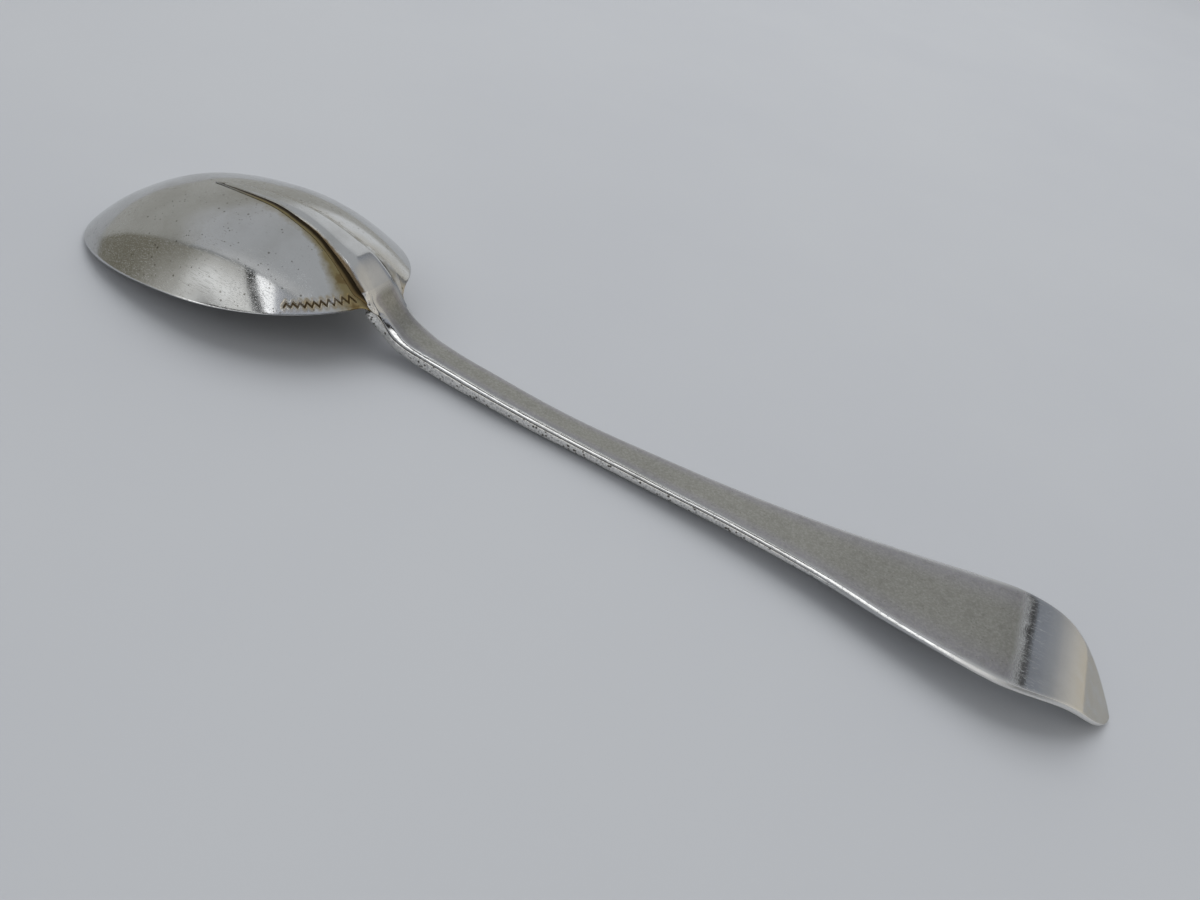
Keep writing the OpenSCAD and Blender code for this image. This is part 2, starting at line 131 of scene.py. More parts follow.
def outline(a, half, reach_tip, reach_heel):
    c = np.cos(a)
    s = np.sin(a)
    reach = np.where(c < 0, reach_tip, reach_heel)
    power = np.where(c < 0, TIP_POWER, HEEL_POWER)
    return 1 / ((np.abs(c) / reach)**power + (np.abs(s) / half)**power)**(1 / power)


def rim_r(a):
    return outline(a, BOWL_W / 2, TIP_REACH, HEEL_REACH)


def inner_r(a):
    return outline(a, BOWL_W / 2 - RIM_W, TIP_REACH - RIM_W, HEEL_REACH - RIM_W)


def fold(a):
    return (a + math.pi) % (2 * math.pi) - math.pi


def dip(a, q):
    turn = fold(a)
    wide = np.where(turn < 0, DIP_ANGLE_NEAR, DIP_ANGLE_FAR)
    return HEEL_DIP * np.exp(-(np.abs(turn) / wide)**4) * q**DIP_POWER


def back_n(u, v):
    du = u - DEEP_U
    a = np.arctan2(v, du)
    q = np.minimum(np.hypot(du, v) / rim_r(a), 1)
    return BOWL_DEPTH * (1 - q**BACK_POWER) - dip(a, q)


def placed(u, v, n):
    u, v, n = np.broadcast_arrays(np.asarray(u, float), v, n)
    x = SHIFT_X + u * math.cos(RIM_PITCH) - n * math.sin(RIM_PITCH)
    z = u * math.sin(RIM_PITCH) + n * math.cos(RIM_PITCH)
    return np.stack([x, v, z], -1)


def on_back(u, y, height):
    return placed(u, y, back_n(u, y) + height)


HEEL_X = BOWL_LEN * math.cos(RIM_PITCH)
HEEL_Z = BOWL_LEN * math.sin(RIM_PITCH)
REACH_X = SPOON_LEN - HEEL_X
FALL_X = [-0.0200, -0.0075, 0.0020, 0.0100, 0.0210, 0.0320, 0.0435, 0.0655, 0.0950, 0.1700, 1]
FALL = [0.7536, 0.5820, 0.4495, 0.3610, 0.2620, 0.1900, 0.1345, 0.0580, 0.0170, 0, 0]
BACK_X = [-0.0200, 0.0655, 0.1700, 0.3010, 0.4120, 0.5220, 0.6320, 0.7430, 0.8160, 0.8600,
          0.8900, 0.9040, 0.9190, 0.9340, 0.9490, 0.9640, 0.9790, 0.9930, 1]
BACK_Z = [0.6000, 0.6000, 0.5800, 0.5270, 0.5730, 0.6600, 0.7320, 0.7850, 0.8830, 0.9570,
          0.9970, 1.0000, 0.9780, 0.9110, 0.7860, 0.6080, 0.3950, 0.1890, 0.0990]
WIDE_X = [-0.0200, 0, 0.0210, 0.0450, 0.0655, 0.1200, 0.2200, 0.3010, 0.4120, 0.5220, 0.6320,
          0.7430, 0.8160, 0.8600, 0.9000, 1]
NECK_WIDE = [0.8000, 0.8750, 0.9700, 1.0000, 0.9850, 0.9300, 0.9200, 1.0200, 0, 0, 0, 0, 0, 0, 0, 0]
END_WIDE = [0, 0, 0, 0, 0, 0, 0, 0.0020, 0.3150, 0.3800, 0.5300, 0.7980, 0.9450, 1.0100, 1.0300, 1.0400]
THICK_X = [0, 0.0210, 0.0435, 0.0655, 0.0950, 0.1700, 0.3010, 0.4120, 0.5220, 0.6320, 0.7430,
           0.8160, 0.9000, 1]
THICK = [1.0800, 0.9500, 0.8600, 0.8050, 0.7850, 0.7600, 0.7600, 0.7700, 0.6800, 0.5100, 0.3850,
         0.3150, 0.2600, 0.2000]
SWAY_X = [-0.0200, 0.0105, 0.0200, 0.0400, 0.1000, 0.1700, 0.2400, 0.3100, 0.4000, 0.5000, 0.6000,
          0.7000, 0.8000, 0.9000, 1]
SWAY_Y = [-0.3500, -0.3500, -0.3600, -0.4000, -0.5500, -0.8500, -1.0000, -0.9000, -0.5500, -0.2000,
          0.1000, 0.3200, 0.5200, 0.7000, 0.8500]
CAP_POWER = 1.78
SLOPE_STEP = 0.0015
CAP_SHARE = END_CAP / REACH_X


def crest_z(s):
    return HEEL_Z * curve(FALL_X, FALL, s) + END_H * curve(BACK_X, BACK_Z, s)


def crest(s):
    s = np.asarray(s, float)
    return np.stack([HEEL_X + s * REACH_X, crest_z(s)], -1)


def inward(s):
    m = np.clip(s, FALL_X[0] + SLOPE_STEP, 1 - SLOPE_STEP)
    g = (crest_z(m + SLOPE_STEP) - crest_z(m - SLOPE_STEP)) / (2 * SLOPE_STEP * REACH_X)
    k = np.hypot(1, g)
    return np.stack([g / k, -1 / k], -1)


def half_w(s):
    cap = np.clip((np.asarray(s, float) - 1 + CAP_SHARE) / CAP_SHARE, 0, 0.9985)
    flat = NECK_W / 2 * curve(WIDE_X, NECK_WIDE, s) + END_W / 2 * curve(WIDE_X, END_WIDE, s)
    return flat * (1 - cap**CAP_POWER)**(1 / CAP_POWER)


def thick(s):
    return NECK_T * curve(THICK_X, THICK, np.maximum(s, 0))


def bend(s):
    return SWAY * curve(SWAY_X, SWAY_Y, s)


SCARF = -0.0185
HEEL = 0.0105
TAB = 0.0690
SCARF_U = 0.9520
heel_point = placed(BOWL_LEN, 0, -HEEL_DIP)
RIM_HEEL = np.array([heel_point[0] - SHIFT_X, heel_point[2]])
TAB_END = crest(TAB) + inward(TAB) * (thick(TAB) - FIT_GAP)
TAB_DIR = (TAB_END - RIM_HEEL) / np.linalg.norm(TAB_END - RIM_HEEL)
TAB_UP = np.array([-TAB_DIR[1], TAB_DIR[0]])

TAIL_U = [0.4200, 0.4450, 0.5000, 0.5800, 0.6600, 0.7400, 0.8100, 0.8700, 0.9200, 0.9520, 1]
TAIL_RISE = [0.0100, 0.0500, 0.1400, 0.1800, 0.2250, 0.3330, 0.4100, 0.6000, 0.9900, 1.0000, 1]
NEAR_FOOT = [0.0250, 0.0800, 0.1700, 0.2570, 0.3200, 0.4900, 0.6070, 0.8180, 0.9480, 1.0000, 0.7300]
FAR_FOOT = [0.0250, 0.0750, 0.1600, 0.2400, 0.3100, 0.4200, 0.5000, 0.6400, 0.8000, 0.8400, 0.7300]
FILLET = [0.0400, 0.0800, 0.2500, 0.4500, 0.5800, 0.6300, 0.6600, 0.6300, 0.8500, 0.9500, 0]
LEAN_U = [0, 0.74, 0.81, 0.87, 0.92, 0.952]
LEAN = [0, 0, 0.08, 0.35, 0.8, 1]
SHIFT = [0, 0.1, 0.33, 0.65, 0.9, 1]
RISE_U = [0.42, 0.445, 0.5, 0.66, 0.81, 0.87, 0.9, 0.93, 0.952, 1]
RISE_H = [0.003, 0.006, 0.025, 0.05, 0.08, 0.12, 0.13, 0.1, 0.05, 0]


def foot(g, side):
    """Half width of the rat-tail's foot, side -1 for the near flank and +1 for the far one."""
    shares = NEAR_FOOT if side < 0 else FAR_FOOT
    on_bowl = curve(TAIL_U, shares, np.minimum(g, SCARF_U))
    lap = mix(shares[9], shares[10], (g - SCARF_U) / (1 - SCARF_U))
    return TAIL_W / 2 * np.where(g > SCARF_U, lap, on_bowl)


def fillet(g):
    return FILLET_W * curve(TAIL_U, FILLET, g)


def tail_shift(g):
    return bend(SCARF) * curve(LEAN_U, SHIFT, np.minimum(g, SCARF_U))


scarf_crest = crest(SCARF)
SCARF_CREST_U = scarf_crest[0] * math.cos(RIM_PITCH) + scarf_crest[1] * math.sin(RIM_PITCH)
SCARF_CREST_N = scarf_crest[1] * math.cos(RIM_PITCH) - scarf_crest[0] * math.sin(RIM_PITCH)
CREST_U = [g * BOWL_LEN for g in TAIL_U[:9]] + [SCARF_CREST_U]
CREST_N = [float(back_n(u, 0)) + TAIL_H * h for u, h in zip(CREST_U, TAIL_RISE)][:9] + [SCARF_CREST_N]


def tail_crest(g):
    lean = (SCARF_CREST_U - SCARF_U * BOWL_LEN) * curve(LEAN_U, LEAN, g)
    u = np.minimum(g * BOWL_LEN + lean, SCARF_CREST_U)
    p = placed(u, 0, curve(CREST_U, CREST_N, u))
    return np.stack([p[..., 0] - SHIFT_X, p[..., 2]], -1)


def side_point(p, y):
    """Point of the side view, x and z over the table, at a distance y from the middle."""
    x, z, y = np.broadcast_arrays(p[..., 0] + SHIFT_X, p[..., 1], y)
    return np.stack([x, y, z], -1)


# Mesh helpers

SHARP_ANGLE = math.radians(50)


def new_piece(name, points, faces, fields, nodes):
    """Smooth piece from points in millimetres, with one float field per named array."""
    mesh = bpy.data.meshes.new(name)
    mesh.from_pydata((np.asarray(points) * MM).tolist(), [], faces)
    mesh.validate()
    for key, values in fields.items():
        layer = mesh.attributes.new(key, "FLOAT", "POINT")
        layer.data.foreach_set("value", np.asarray(values, np.float32).ravel())
    mesh.polygons.foreach_set("use_smooth", [True] * len(mesh.polygons))
    mesh.update()
    mesh.set_sharp_from_angle(angle=SHARP_ANGLE)
    piece = bpy.data.objects.new(name, mesh)
    bpy.context.scene.collection.objects.link(piece)
    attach(piece, "root")
    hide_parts(*nodes)
    return piece


def loop_faces(rows, cols, flip=False):
    """Faces of a tube of closed loops, with one face over each end."""
    faces = []
    for r in range(rows - 1):
        for c in range(cols):
            d = (c + 1) % cols
            faces.append([r * cols + c, r * cols + d, (r + 1) * cols + d, (r + 1) * cols + c])
    faces.append(list(range(cols))[::-1])
    faces.append([(rows - 1) * cols + c for c in range(cols)])
    if flip:
        faces = [f[::-1] for f in faces]
    return faces


CORNER_CUT = 0.2
CORNER_TURNS = 2


def rounded(loops, level):
    """Corner-cutting of closed loops [row, column, xyz], whose flats stay flat.

    Gives the loops and the column, from the list level, that each point comes from."""
    level = np.broadcast_to(np.asarray(level, float)[None, :, None], loops.shape[:2] + (1,))
    loops = np.concatenate([loops, level], 2)
    for _ in range(CORNER_TURNS):
        after = np.roll(loops, -1, axis=1)
        a = loops + (after - loops) * CORNER_CUT
        b = loops + (after - loops) * (1 - CORNER_CUT)
        loops = np.stack([a, b], 2).reshape(loops.shape[0], -1, loops.shape[2])
    return loops[..., :3], loops[..., 3].ravel()


# Bowl

def zig_count():
    """Number of legs of the zig-zag."""
    middle = float(rim_r((ZIG_START + ZIG_END) / 2))
    return math.floor((ZIG_END - ZIG_START) * middle / ZIG_PITCH * 2)


def zig_distance(a, r):
    """Distance from the nearest leg of the zig-zag, in millimetres along the bowl's back."""
    count = zig_count()
    ends = np.linspace(ZIG_START, ZIG_END, count + 1)
    t = np.linspace(0, 1, count + 1)
    height = ZIG_RISE * ZIG_H * mix(ZIG_TAPER, 1, t) * (np.arange(count + 1) % 2)
    radii = rim_r(ends) - ZIG_INSET - height
    px = radii * np.cos(ends)
    py = radii * np.sin(ends)
    x = r * np.cos(a)
    y = r * np.sin(a)
    best = np.full(np.broadcast(a, r).shape, 1e3)
    for i in range(count):
        dx = px[i + 1] - px[i]
        dy = py[i + 1] - py[i]
        k = np.clip(((x - px[i]) * dx + (y - py[i]) * dy) / (dx * dx + dy * dy), 0, 1)
        best = np.minimum(best, np.hypot(x - px[i] - k * dx, y - py[i] - k * dy))
    return best


def bowl_angles():
    fine = np.radians(np.arange(-40.5, -11.0, 0.14))
    heel = np.radians(np.arange(-11.0, 20.0, 0.5))
    rest = np.radians(np.arange(20.0, 319.5, 1.5))
    return np.concatenate([fine, heel, rest])


EDGE_Q = 0.986
RIM_ROUND = 0.28
ZIG_FROM_Q = 0.8
ZIG_REACH = 1.35
BACK_Q = np.concatenate([np.linspace(0.012, 0.86, 60), np.linspace(0.86, EDGE_Q, 44)[1:]])
EDGE_STEPS = (0.25, 0.5, 0.75, 1.0)
RIM_STEPS = (0.3, 0.6, 0.9)
INSIDE_Q = np.concatenate([[0.999, 0.993, 0.985], np.linspace(0.97, 0.012, 48)])
OUTER_RINGS = len(BACK_Q) + len(EDGE_STEPS) + len(RIM_STEPS)
NOT_CUT = 9.0
BURR_AT = 0.33
BURR_W = 0.09
BURR_H = 0.045


def make_bowl():
    """Shell of the bowl in rings: the back, the rim's rounded corner, the flat rim and the inside."""
    a = bowl_angles()
    rr = rim_r(a)
    ri = inner_r(a)
    drop = dip(a, 1.0)
    far_off = np.full_like(a, NOT_CUT)
    rings = []
    away = []

    def ring(reach, n, distance=far_off):
        rings.append(placed(DEEP_U + reach * np.cos(a), reach * np.sin(a), n))
        away.append(distance)

    for q in BACK_Q:
        n = BOWL_DEPTH * (1 - q**BACK_POWER) - dip(a, q)
        if q > ZIG_FROM_Q:
            d = zig_distance(a, rr * q)
            cut = np.clip(1 - d / (ZIG_REACH * ZIG_R), 0, 1)**0.8
            burr = np.exp(-((d - BURR_AT) / BURR_W)**2)
            ring(rr * q, n - ZIG_DEPTH * cut + BURR_H * burr, d)
        else:
            ring(rr * q, n)
    edge_n = BOWL_DEPTH * (1 - EDGE_Q**BACK_POWER)
    for t in EDGE_STEPS:
        ring(rr * (1 - (1 - EDGE_Q) * (1 - t)**2) - RIM_ROUND * t**2, edge_n * (1 - t)**2 - drop)
    for t in RIM_STEPS:
        ring(mix(rr - RIM_ROUND, ri, t), -drop)
    for q in INSIDE_Q:
        ring(ri * q, (BOWL_DEPTH - BOWL_T) * (1 - q**INNER_POWER) - dip(a, q))
    return np.concatenate(rings), np.concatenate(away), loop_faces(len(rings), len(a))


def bowl_fields(points, zig):
    """Fields for the tarnish and the painted shade with dirt at the rat-tail's root, the dirt in the
    zig-zag and the dull inside.
    """
    x = points[:, 0] - SHIFT_X
    z = points[:, 2]
    u = x * math.cos(RIM_PITCH) + z * math.sin(RIM_PITCH)
    g = np.clip(u / BOWL_LEN, TAIL_U[0], 1)
    y = points[:, 1] - tail_shift(g)
    away = np.where(y < 0, -y - foot(g, -1), y - foot(g, 1))
    along = ramp(u / BOWL_LEN, 0.44, 0.9)
    heel = ramp(u / BOWL_LEN, 0.80, 0.99)
    cols = len(bowl_angles())
    inside = np.repeat(np.arange(len(points) // cols) >= OUTER_RINGS, cols)
    return {"inside": inside, "zig": zig, "root": away, "along": along, "heel": heel,
            "side": np.sign(y)}


# Rat-tail

# Ridge lines of the rat-tail, as distances from its middle: the near edge of the flat crest,
# the near line under the bright facet, and the far edge of the crest
LINE_U = [0.42, 0.5, 0.58, 0.64, 0.70, 0.74, 0.775, 0.81, 0.84, 0.87, 0.895, 0.92, 0.952]
CREST_NEAR = [0.03, 0.42, 0.62, 0.68, 0.74, 0.88, 1.05, 1.29, 1.50, 1.60, 1.64, 1.70, 1.97]
FACET_LOW = [0.05, 0.48, 0.72, 0.82, 0.95, 1.16, 1.42, 1.62, 1.85, 2.20, 2.60, 2.90, 3.02]
CREST_FAR = [0.03, 0.45, 0.85, 1.05, 1.18, 1.26, 1.35, 1.47, 1.62, 1.76, 1.90, 2.12, 2.35]
FACET_H = [0.90, 0.90, 0.90, 0.90, 0.88, 0.85, 0.82, 0.80, 0.80, 0.80, 0.80, 0.80, 0.80]


def line(table, g):
    return curve(LINE_U, table, g)


def flank(g):
    """Columns across the rat-tail, from the near foot over the crest to the far foot."""
    near = foot(g, -1)
    far = foot(g, 1)
    edge = np.minimum(line(CREST_NEAR, g), 0.86 * near)
    low = np.minimum(np.maximum(line(FACET_LOW, g), edge * 1.04), 0.95 * near)
    high = line(FACET_H, g)
    over = np.minimum(line(CREST_FAR, g), 0.86 * far)
    zero = 0 * g
    return [
        (-near + 0.12, zero),
        (-near, zero + 0.05),
        (-mix(low, near, 0.93), 0.34 * high),
        (-mix(low, near, 0.55), 0.80 * high),
        (-mix(low, near, 0.12), 0.985 * high),
        (-low, high),
        (-mix(edge, low, 0.5), mix(zero + 0.975, high, 0.42)),
        (-edge, zero + 0.975),
        (-0.55 * edge, zero + 0.998),
        (zero, zero + 1),
        (0.55 * over, zero + 0.998),
        (over, zero + 0.975),
        (mix(over, far, 0.45), zero + 0.80),
        (mix(over, far, 0.88), zero + 0.40),
        (far, zero + 0.05),
        (far - 0.12, zero),
    ]


def tail_loops(gs):
    top = []
    for y, h in flank(gs):
        y = tail_shift(gs) + y
        b = on_back(gs * BOWL_LEN, y, 0.35 * LIFT)
        c = side_point(tail_crest(gs), y)
        top.append(mix(b, c, h[:, None]))
    return np.stack(top, 1)


def make_tail():
    gs = np.concatenate([np.linspace(0.4205, 0.5, 40), np.linspace(0.5, SCARF_U, 260)[1:]])
    loops = tail_loops(gs)
    loops, column = rounded(loops, np.arange(loops.shape[1]))
    rows, cols = loops.shape[:2]
    fields = {"along": np.repeat(gs, cols), "column": column}
    return loops.reshape(-1, 3), loop_faces(rows, cols, flip=True), fields


# Handle

BLOCK_S = [-0.0165, -0.0125, -0.0075, 0, 0.0105, 0.0195, 0.029, 0.0385, 0.048, 0.058, 0.066]
BLOCK_DEPTH = [0.62, 0.82, 1.0, 1.05, 0.98, 0.90, 0.87, 0.87, 0.87, 0.85, 0.826]

# Lines along the handle's near side. Each is the way from the back's near edge, outwards and down
# the wall together, in millimetres: the edge of the back, the top and foot of the polished band,
# the crease, which is the solder seam under the neck, and the foot of the pitted wall.
WALL_S = [-0.0185, -0.012, -0.006, 0, 0.0105, 0.02, 0.03, 0.0385, 0.048, 0.058, 0.069, 0.085,
          0.11, 0.15, 0.2, 0.25, 0.3, 0.38, 0.46, 0.54, 0.62, 0.7, 0.78, 0.84, 1]
EDGE_LINE = [-0.25, 0.8, 1.2, 0.6, 0.25, 0.2, 0.27, 0.5, 0.5, 0.27, 0, -0.2,
             -0.25, -0.08, 0, -0.3, -0.55, -0.55, -0.3, -0.25, -0.25, -0.35, -0.25, -0.2, -0.15]
BAND_TOP = [0.1, 1.1, 1.5, 1.0, 0.6, 0.55, 0.65, 0.9, 0.9, 0.83, 0.62, 0.45,
            0.37, 0.58, 0.63, 0.29, 0.07, 0.05, 0.32, 0.29, 0.1, -0.28, -0.2, -0.15, -0.1]
BAND_FOOT = [1.25, 2.0, 2.1, 2.15, 2.2, 2.2, 2.16, 2.0, 1.84, 1.5, 1.28, 1.2,
             1.17, 1.39, 1.33, 1.1, 0.83, 0.78, 0.86, 0.93, 0.86, 0.48, 0.47, 0.50, 0.40]
CREASE = [1.4, 2.2, 2.3, 2.38, 2.41, 2.44, 2.45, 2.3, 2.15, 1.85, 1.6, 1.5,
          1.48, 1.7, 1.62, 1.33, 1.03, 1.0, 1.1, 1.1, 1.05, 0.62, 0.55, 0.58, 0.46]
WALL_FOOT = [4.4, 4.4, 4.35, 4.3, 4.2, 4.15, 4.05, 3.95, 3.76, 3.63, 3.49, 3.4,
             3.42, 3.39, 3.23, 2.87, 2.43, 2.26, 2.26, 2.13, 1.81, 1.22, 0.85, 0.9, 0.75]
CREASE_W = 0.16
CREASE_FADE = 0.56
CREASE_END = 0.72
END_POLISH = 0.877
POLISH_SOFT = 0.012
CREASE_IN = 0.13
CREASE_COLUMN = 5
LAST_COLUMN = 10
RIM_MEETS = -0.001
TAB_GAP = 0.0003
LAP_REACH = 2.55
FLARE_END = 0.028
NEAR_FLARE = 0.9
LAP_FOOT_G = [0.952, 0.957, 0.965, 0.972, 0.977, 0.981, 1]
LAP_FOOT = [4.4, 4.42, 4.5, 4.7, 4.9, 4.9, 3.7]
FAR_BULGE = 0.6
LIFTED_HEEL = RIM_HEEL + TAB_UP * LIFT


def depth(s):
    """Whole depth of the handle with the heel block under it."""
    block = NECK_T * curve(BLOCK_S, BLOCK_DEPTH, np.minimum(s, BLOCK_S[-1]))
    return mix(block, thick(s), ramp(s, 0.055, 0.085))


def wall_w(s):
    return half_w(s) + 0.05 * thick(s)


def lap_g(s):
    """Place on the bowl under a station of the handle's scarf."""
    return np.where(s <= HEEL, mix(SCARF_U, 1, (s - SCARF) / (HEEL - SCARF)), 1.0)


def near_columns(s):
    """Near side of the handle's section, as distances out from the middle and down from the back."""
    w = half_w(s)
    size = np.minimum(1, w / 1.5)
    edge, top, foot_line, crease, low = (size * curve(WALL_S, table, s) for table in
                                         (EDGE_LINE, BAND_TOP, BAND_FOOT, CREASE, WALL_FOOT))
    lap = 1 - ramp(s, SCARF, 0.03)
    out = mix(0.3, 0.6, lap)
    full = depth(s)
    y2 = w + np.where(edge < 0, edge, 0.5 * edge)
    d2 = 0.5 * np.maximum(edge, 0) + 0.02
    y3 = y2 + 0.5 * (top - edge)
    d3 = d2 + 0.5 * (top - edge)
    y4 = y3 + out * (foot_line - top)
    d4 = d3 + (1 - out) * (foot_line - top)
    d5 = d4 + np.maximum(crease - foot_line, 0.05)
    groove = size * CREASE_IN * (1 - ramp(s, CREASE_FADE, CREASE_END))
    y7 = y4 + 0.3 * groove + lap * 0.15
    d7 = d5 + size * CREASE_W
    flare = NEAR_FLARE * (1 - ramp(s, RIM_MEETS, FLARE_END))
    d8 = np.maximum(np.minimum(d5 + low - crease, 0.9 * full), d7 + 0.1)
    left = np.maximum(full - d8, 0.02)
    return [
        (0 * s, 0 * s),
        (0.6 * y2, 0 * s),
        (y2, d2),
        (y3, d3),
        (y4, d4),
        (y4 - groove, d5),
        (y4 - 0.9 * groove, d5 + 0.3 * (d7 - d5)),
        (y7 + 0.25 * flare, d7),
        (y7 + flare, d8),
        (y7 + flare - 0.75 * left, d8 + 0.75 * left),
        (0.4 * w, d8 + left),
    ]


def far_columns(s):
    """Far side of the section, to the same depths of crease and underside."""
    w = half_w(s)
    full = depth(s)
    crease = near_columns(s)[CREASE_COLUMN][1]
    bevel = np.minimum(np.minimum(EDGE_BEVEL, 0.3 * w), 0.35 * thick(s))
    neck = 1 - ramp(s, SCARF, 0.012)
    bulge = FAR_BULGE * ramp(s, SCARF, -0.008) * (1 - ramp(s, 0.004, 0.03))
    edge = mix(w - bevel, 2.35, neck)
    low = mix(w, 2.9, neck) + bulge
    wall = np.maximum(wall_w(s), low)
    drop = np.minimum(mix(bevel, 0.55, neck) + 0.4 * bulge, 0.8 * crease)
    return [
        (0 * s, 0 * s),
        (0.6 * edge, 0 * s),
        (edge, 0.02 + 0 * s),
        (low, drop),
        (wall, mix(drop, crease, 0.6)),
        (wall, crease),
        (wall, crease + 0.05),
        (wall, crease + 0.12),
        (wall - 0.03 * full, mix(crease, full, 0.75)),
        (wall - 0.12 * full, mix(crease, full, 0.95)),
        (0.4 * w, full),
    ]


# The rat-tail's section at the scarf, as distances out and shares of the way down to the bowl
NEAR_SCARF = [(0, 0), (1.08, 0.002), (1.97, 0.025), (2.50, 0.10), (2.98, 0.195), (3.03, 0.203),
              (3.19, 0.212), (3.78, 0.36), (4.30, 0.73), (4.40, 0.95), (4.28, 1)]
FAR_SCARF = [(0, 0), (1.29, 0.002), (2.35, 0.025), (2.96, 0.20), (3.54, 0.60), (3.60, 0.72),
             (3.64, 0.82), (3.68, 0.90), (3.70, 0.95), (3.66, 0.98), (3.58, 1)]
SCARF_BLEND = -0.007


def side_columns(s, side):
    return near_columns(s) if side < 0 else far_columns(s)


def seam(s):
    """Side view of the solder seam under the neck, which goes on as a crease along the handle."""
    start = LIFTED_HEEL + crest(s) - crest(HEEL)
    level = crest(s) + inward(s) * near_columns(s)[CREASE_COLUMN][1][..., None]
    return mix(start, level, ramp(s, HEEL - 0.002, 0.03)[..., None])


def below_seam(s, d):
    """Side view of a point under the seam, at a depth below the back."""
    level = near_columns(s)[CREASE_COLUMN][1]
    return seam(s) + inward(s) * (d - level)[..., None]


def stem_rows():
    """Stations along the handle, close together at the neck."""
    lap = np.linspace(SCARF, HEEL, 30)[:-1]
    neck = np.linspace(HEEL, TAB, 70)
    free = np.linspace(TAB + TAB_GAP, 0.86, 300)
    end = np.linspace(0.862, 0.985, 90)
    tip = np.linspace(0.986, 1, 40)
    return np.concatenate([lap, neck, free, end, tip])


def lap_foot(s, side):
    """Half width of the handle's foot on the bowl."""
    g = lap_g(s)
    if side < 0:
        return curve(LAP_FOOT_G, LAP_FOOT, g)
    return foot(g, side)


def stem_half(s, side):
    """Columns of one side, [column, row, xyz], down to the bowl, the seam or the underside."""
    columns = side_columns(s, side)
    level = columns[CREASE_COLUMN][1]
    sway = bend(s)
    g = lap_g(s)
    on_bowl = (s < HEEL)[:, None]
    free = (s > TAB)[:, None]
    reach = mix(LAP_REACH, level, ramp(s, -0.012, HEEL))
    closed = ramp(s, RIM_MEETS + 0.006, HEEL)
    y_crease = columns[CREASE_COLUMN][0]
    half = []
    for k, (y, d) in enumerate(columns):
        if k > CREASE_COLUMN:
            spread = (k - CREASE_COLUMN) / (LAST_COLUMN - CREASE_COLUMN)
            flank = mix(y_crease, lap_foot(s, side), min(1.6 * spread, 1))
            lap_y = mix(flank, y_crease * (1 - 0.5 * spread), closed)
            share = mix(mix(level / reach, 1, min(1.25 * spread, 1)), 1, closed)
            tab_y = y_crease * (1 - 0.5 * spread)
        else:
            lap_y = y
            tab_y = y
            share = d / reach
        scarf = (NEAR_SCARF if side < 0 else FAR_SCARF)[k]
        same = 1 - ramp(s, SCARF, SCARF_BLEND)
        lap_y = mix(lap_y, scarf[0], same)
        share = mix(np.clip(share, 0, 1), scarf[1], same)[:, None]
        base = on_back(g * BOWL_LEN, side * lap_y + sway, 0.35 * LIFT)
        lap = mix(side_point(crest(s), side * lap_y + sway), base, share)
        under = np.clip(d / level, 0, 1)[:, None]
        tab = side_point(mix(crest(s), seam(s), under), side * tab_y + sway)
        section = below_seam(s, d) if k > CREASE_COLUMN else mix(crest(s), seam(s), under)
        own = side_point(section, side * y + sway)
        half.append(np.where(on_bowl, lap, np.where(free, own, tab)))
    return half


def joined_loops(near, far, s):
    """Closed loops from the columns of both sides, with the column and the station as fields."""
    count = len(near)
    level = np.concatenate([np.arange(count)[::-1], np.arange(1, count)])
    loops, column = rounded(np.stack(near[::-1] + far[1:], 1), level)
    rows, cols = loops.shape[:2]
    fields = {"column": column, "along": np.repeat(s, cols)}
    return loops.reshape(-1, 3), loop_faces(rows, cols, flip=True), fields


def make_stem():
    s = stem_rows()
    return joined_loops(stem_half(s, -1), stem_half(s, 1), s)


# Solder

# Columns of the solder on each side, counted from the middle: the film under the foot up to 4, its
# edge at 5, and the fillet from 6 to 9
FILM = [0, 0.25, 0.5, 0.78, 1]
HALF_FILM = [1, 2, 3, 4, 5, 6, 6.5, 7, 7.5, 8, 8.5, 9]
FILM_COLUMNS = [-k for k in HALF_FILM[::-1]] + HALF_FILM
FOOT_EDGE = 4
FILLET_START = 6
FILLET_END = 9
FILLET_RISE = {6: 1.0, 6.5: 0.66, 7: 0.42, 7.5: 0.25, 8: 0.14, 8.5: 0.06, 9: 0.0}
SEAM_GAP = 0.03
SEAM_TOP = 0.01
SEAM_IN = 0.06
SEAM_ROWS = 24


def film_y(g, i):
    k = abs(i)
    side = -1 if i < 0 else 1
    f = foot(g, side)
    if k <= FOOT_EDGE:
        y = f * FILM[int(k)]
    elif k < FILLET_START:
        y = f + FIT_GAP
    else:
        y = f + 1.6 * FIT_GAP + fillet(g) * (k - FILLET_START) / (FILLET_END - FILLET_START)
    return tail_shift(g) + side * y


def film_rows(gs):
    """Top and base of the solder on the bowl's back, [row, column, xyz]."""
    fillet_h = TAIL_H * curve(RISE_U, RISE_H, gs)
    top = []
    base = []
    for i in FILM_COLUMNS:
        y = film_y(gs, i)
        k = abs(i)
        skin = SOLDER_T / 3 if k == FILLET_END else SOLDER_T
        height = FIT_GAP + skin + FILLET_RISE.get(k, 0.0) * fillet_h
        top.append(on_back(gs * BOWL_LEN, y, height))
        base.append(on_back(gs * BOWL_LEN, y, FIT_GAP))
    return np.stack(top, 1), np.stack(base, 1)


def seam_y(s, i):
    """Place across the spoon of one column of the solder in the seam under the neck."""
    k = abs(i)
    side = -1 if i < 0 else 1
    edge = float(side_columns(np.array(s), side)[CREASE_COLUMN][0]) - SEAM_IN
    y = edge * FILM[int(min(k, FOOT_EDGE))] + max(k - FOOT_EDGE, 0) * 0.1 * FIT_GAP
    return float(bend(s)) + side * y


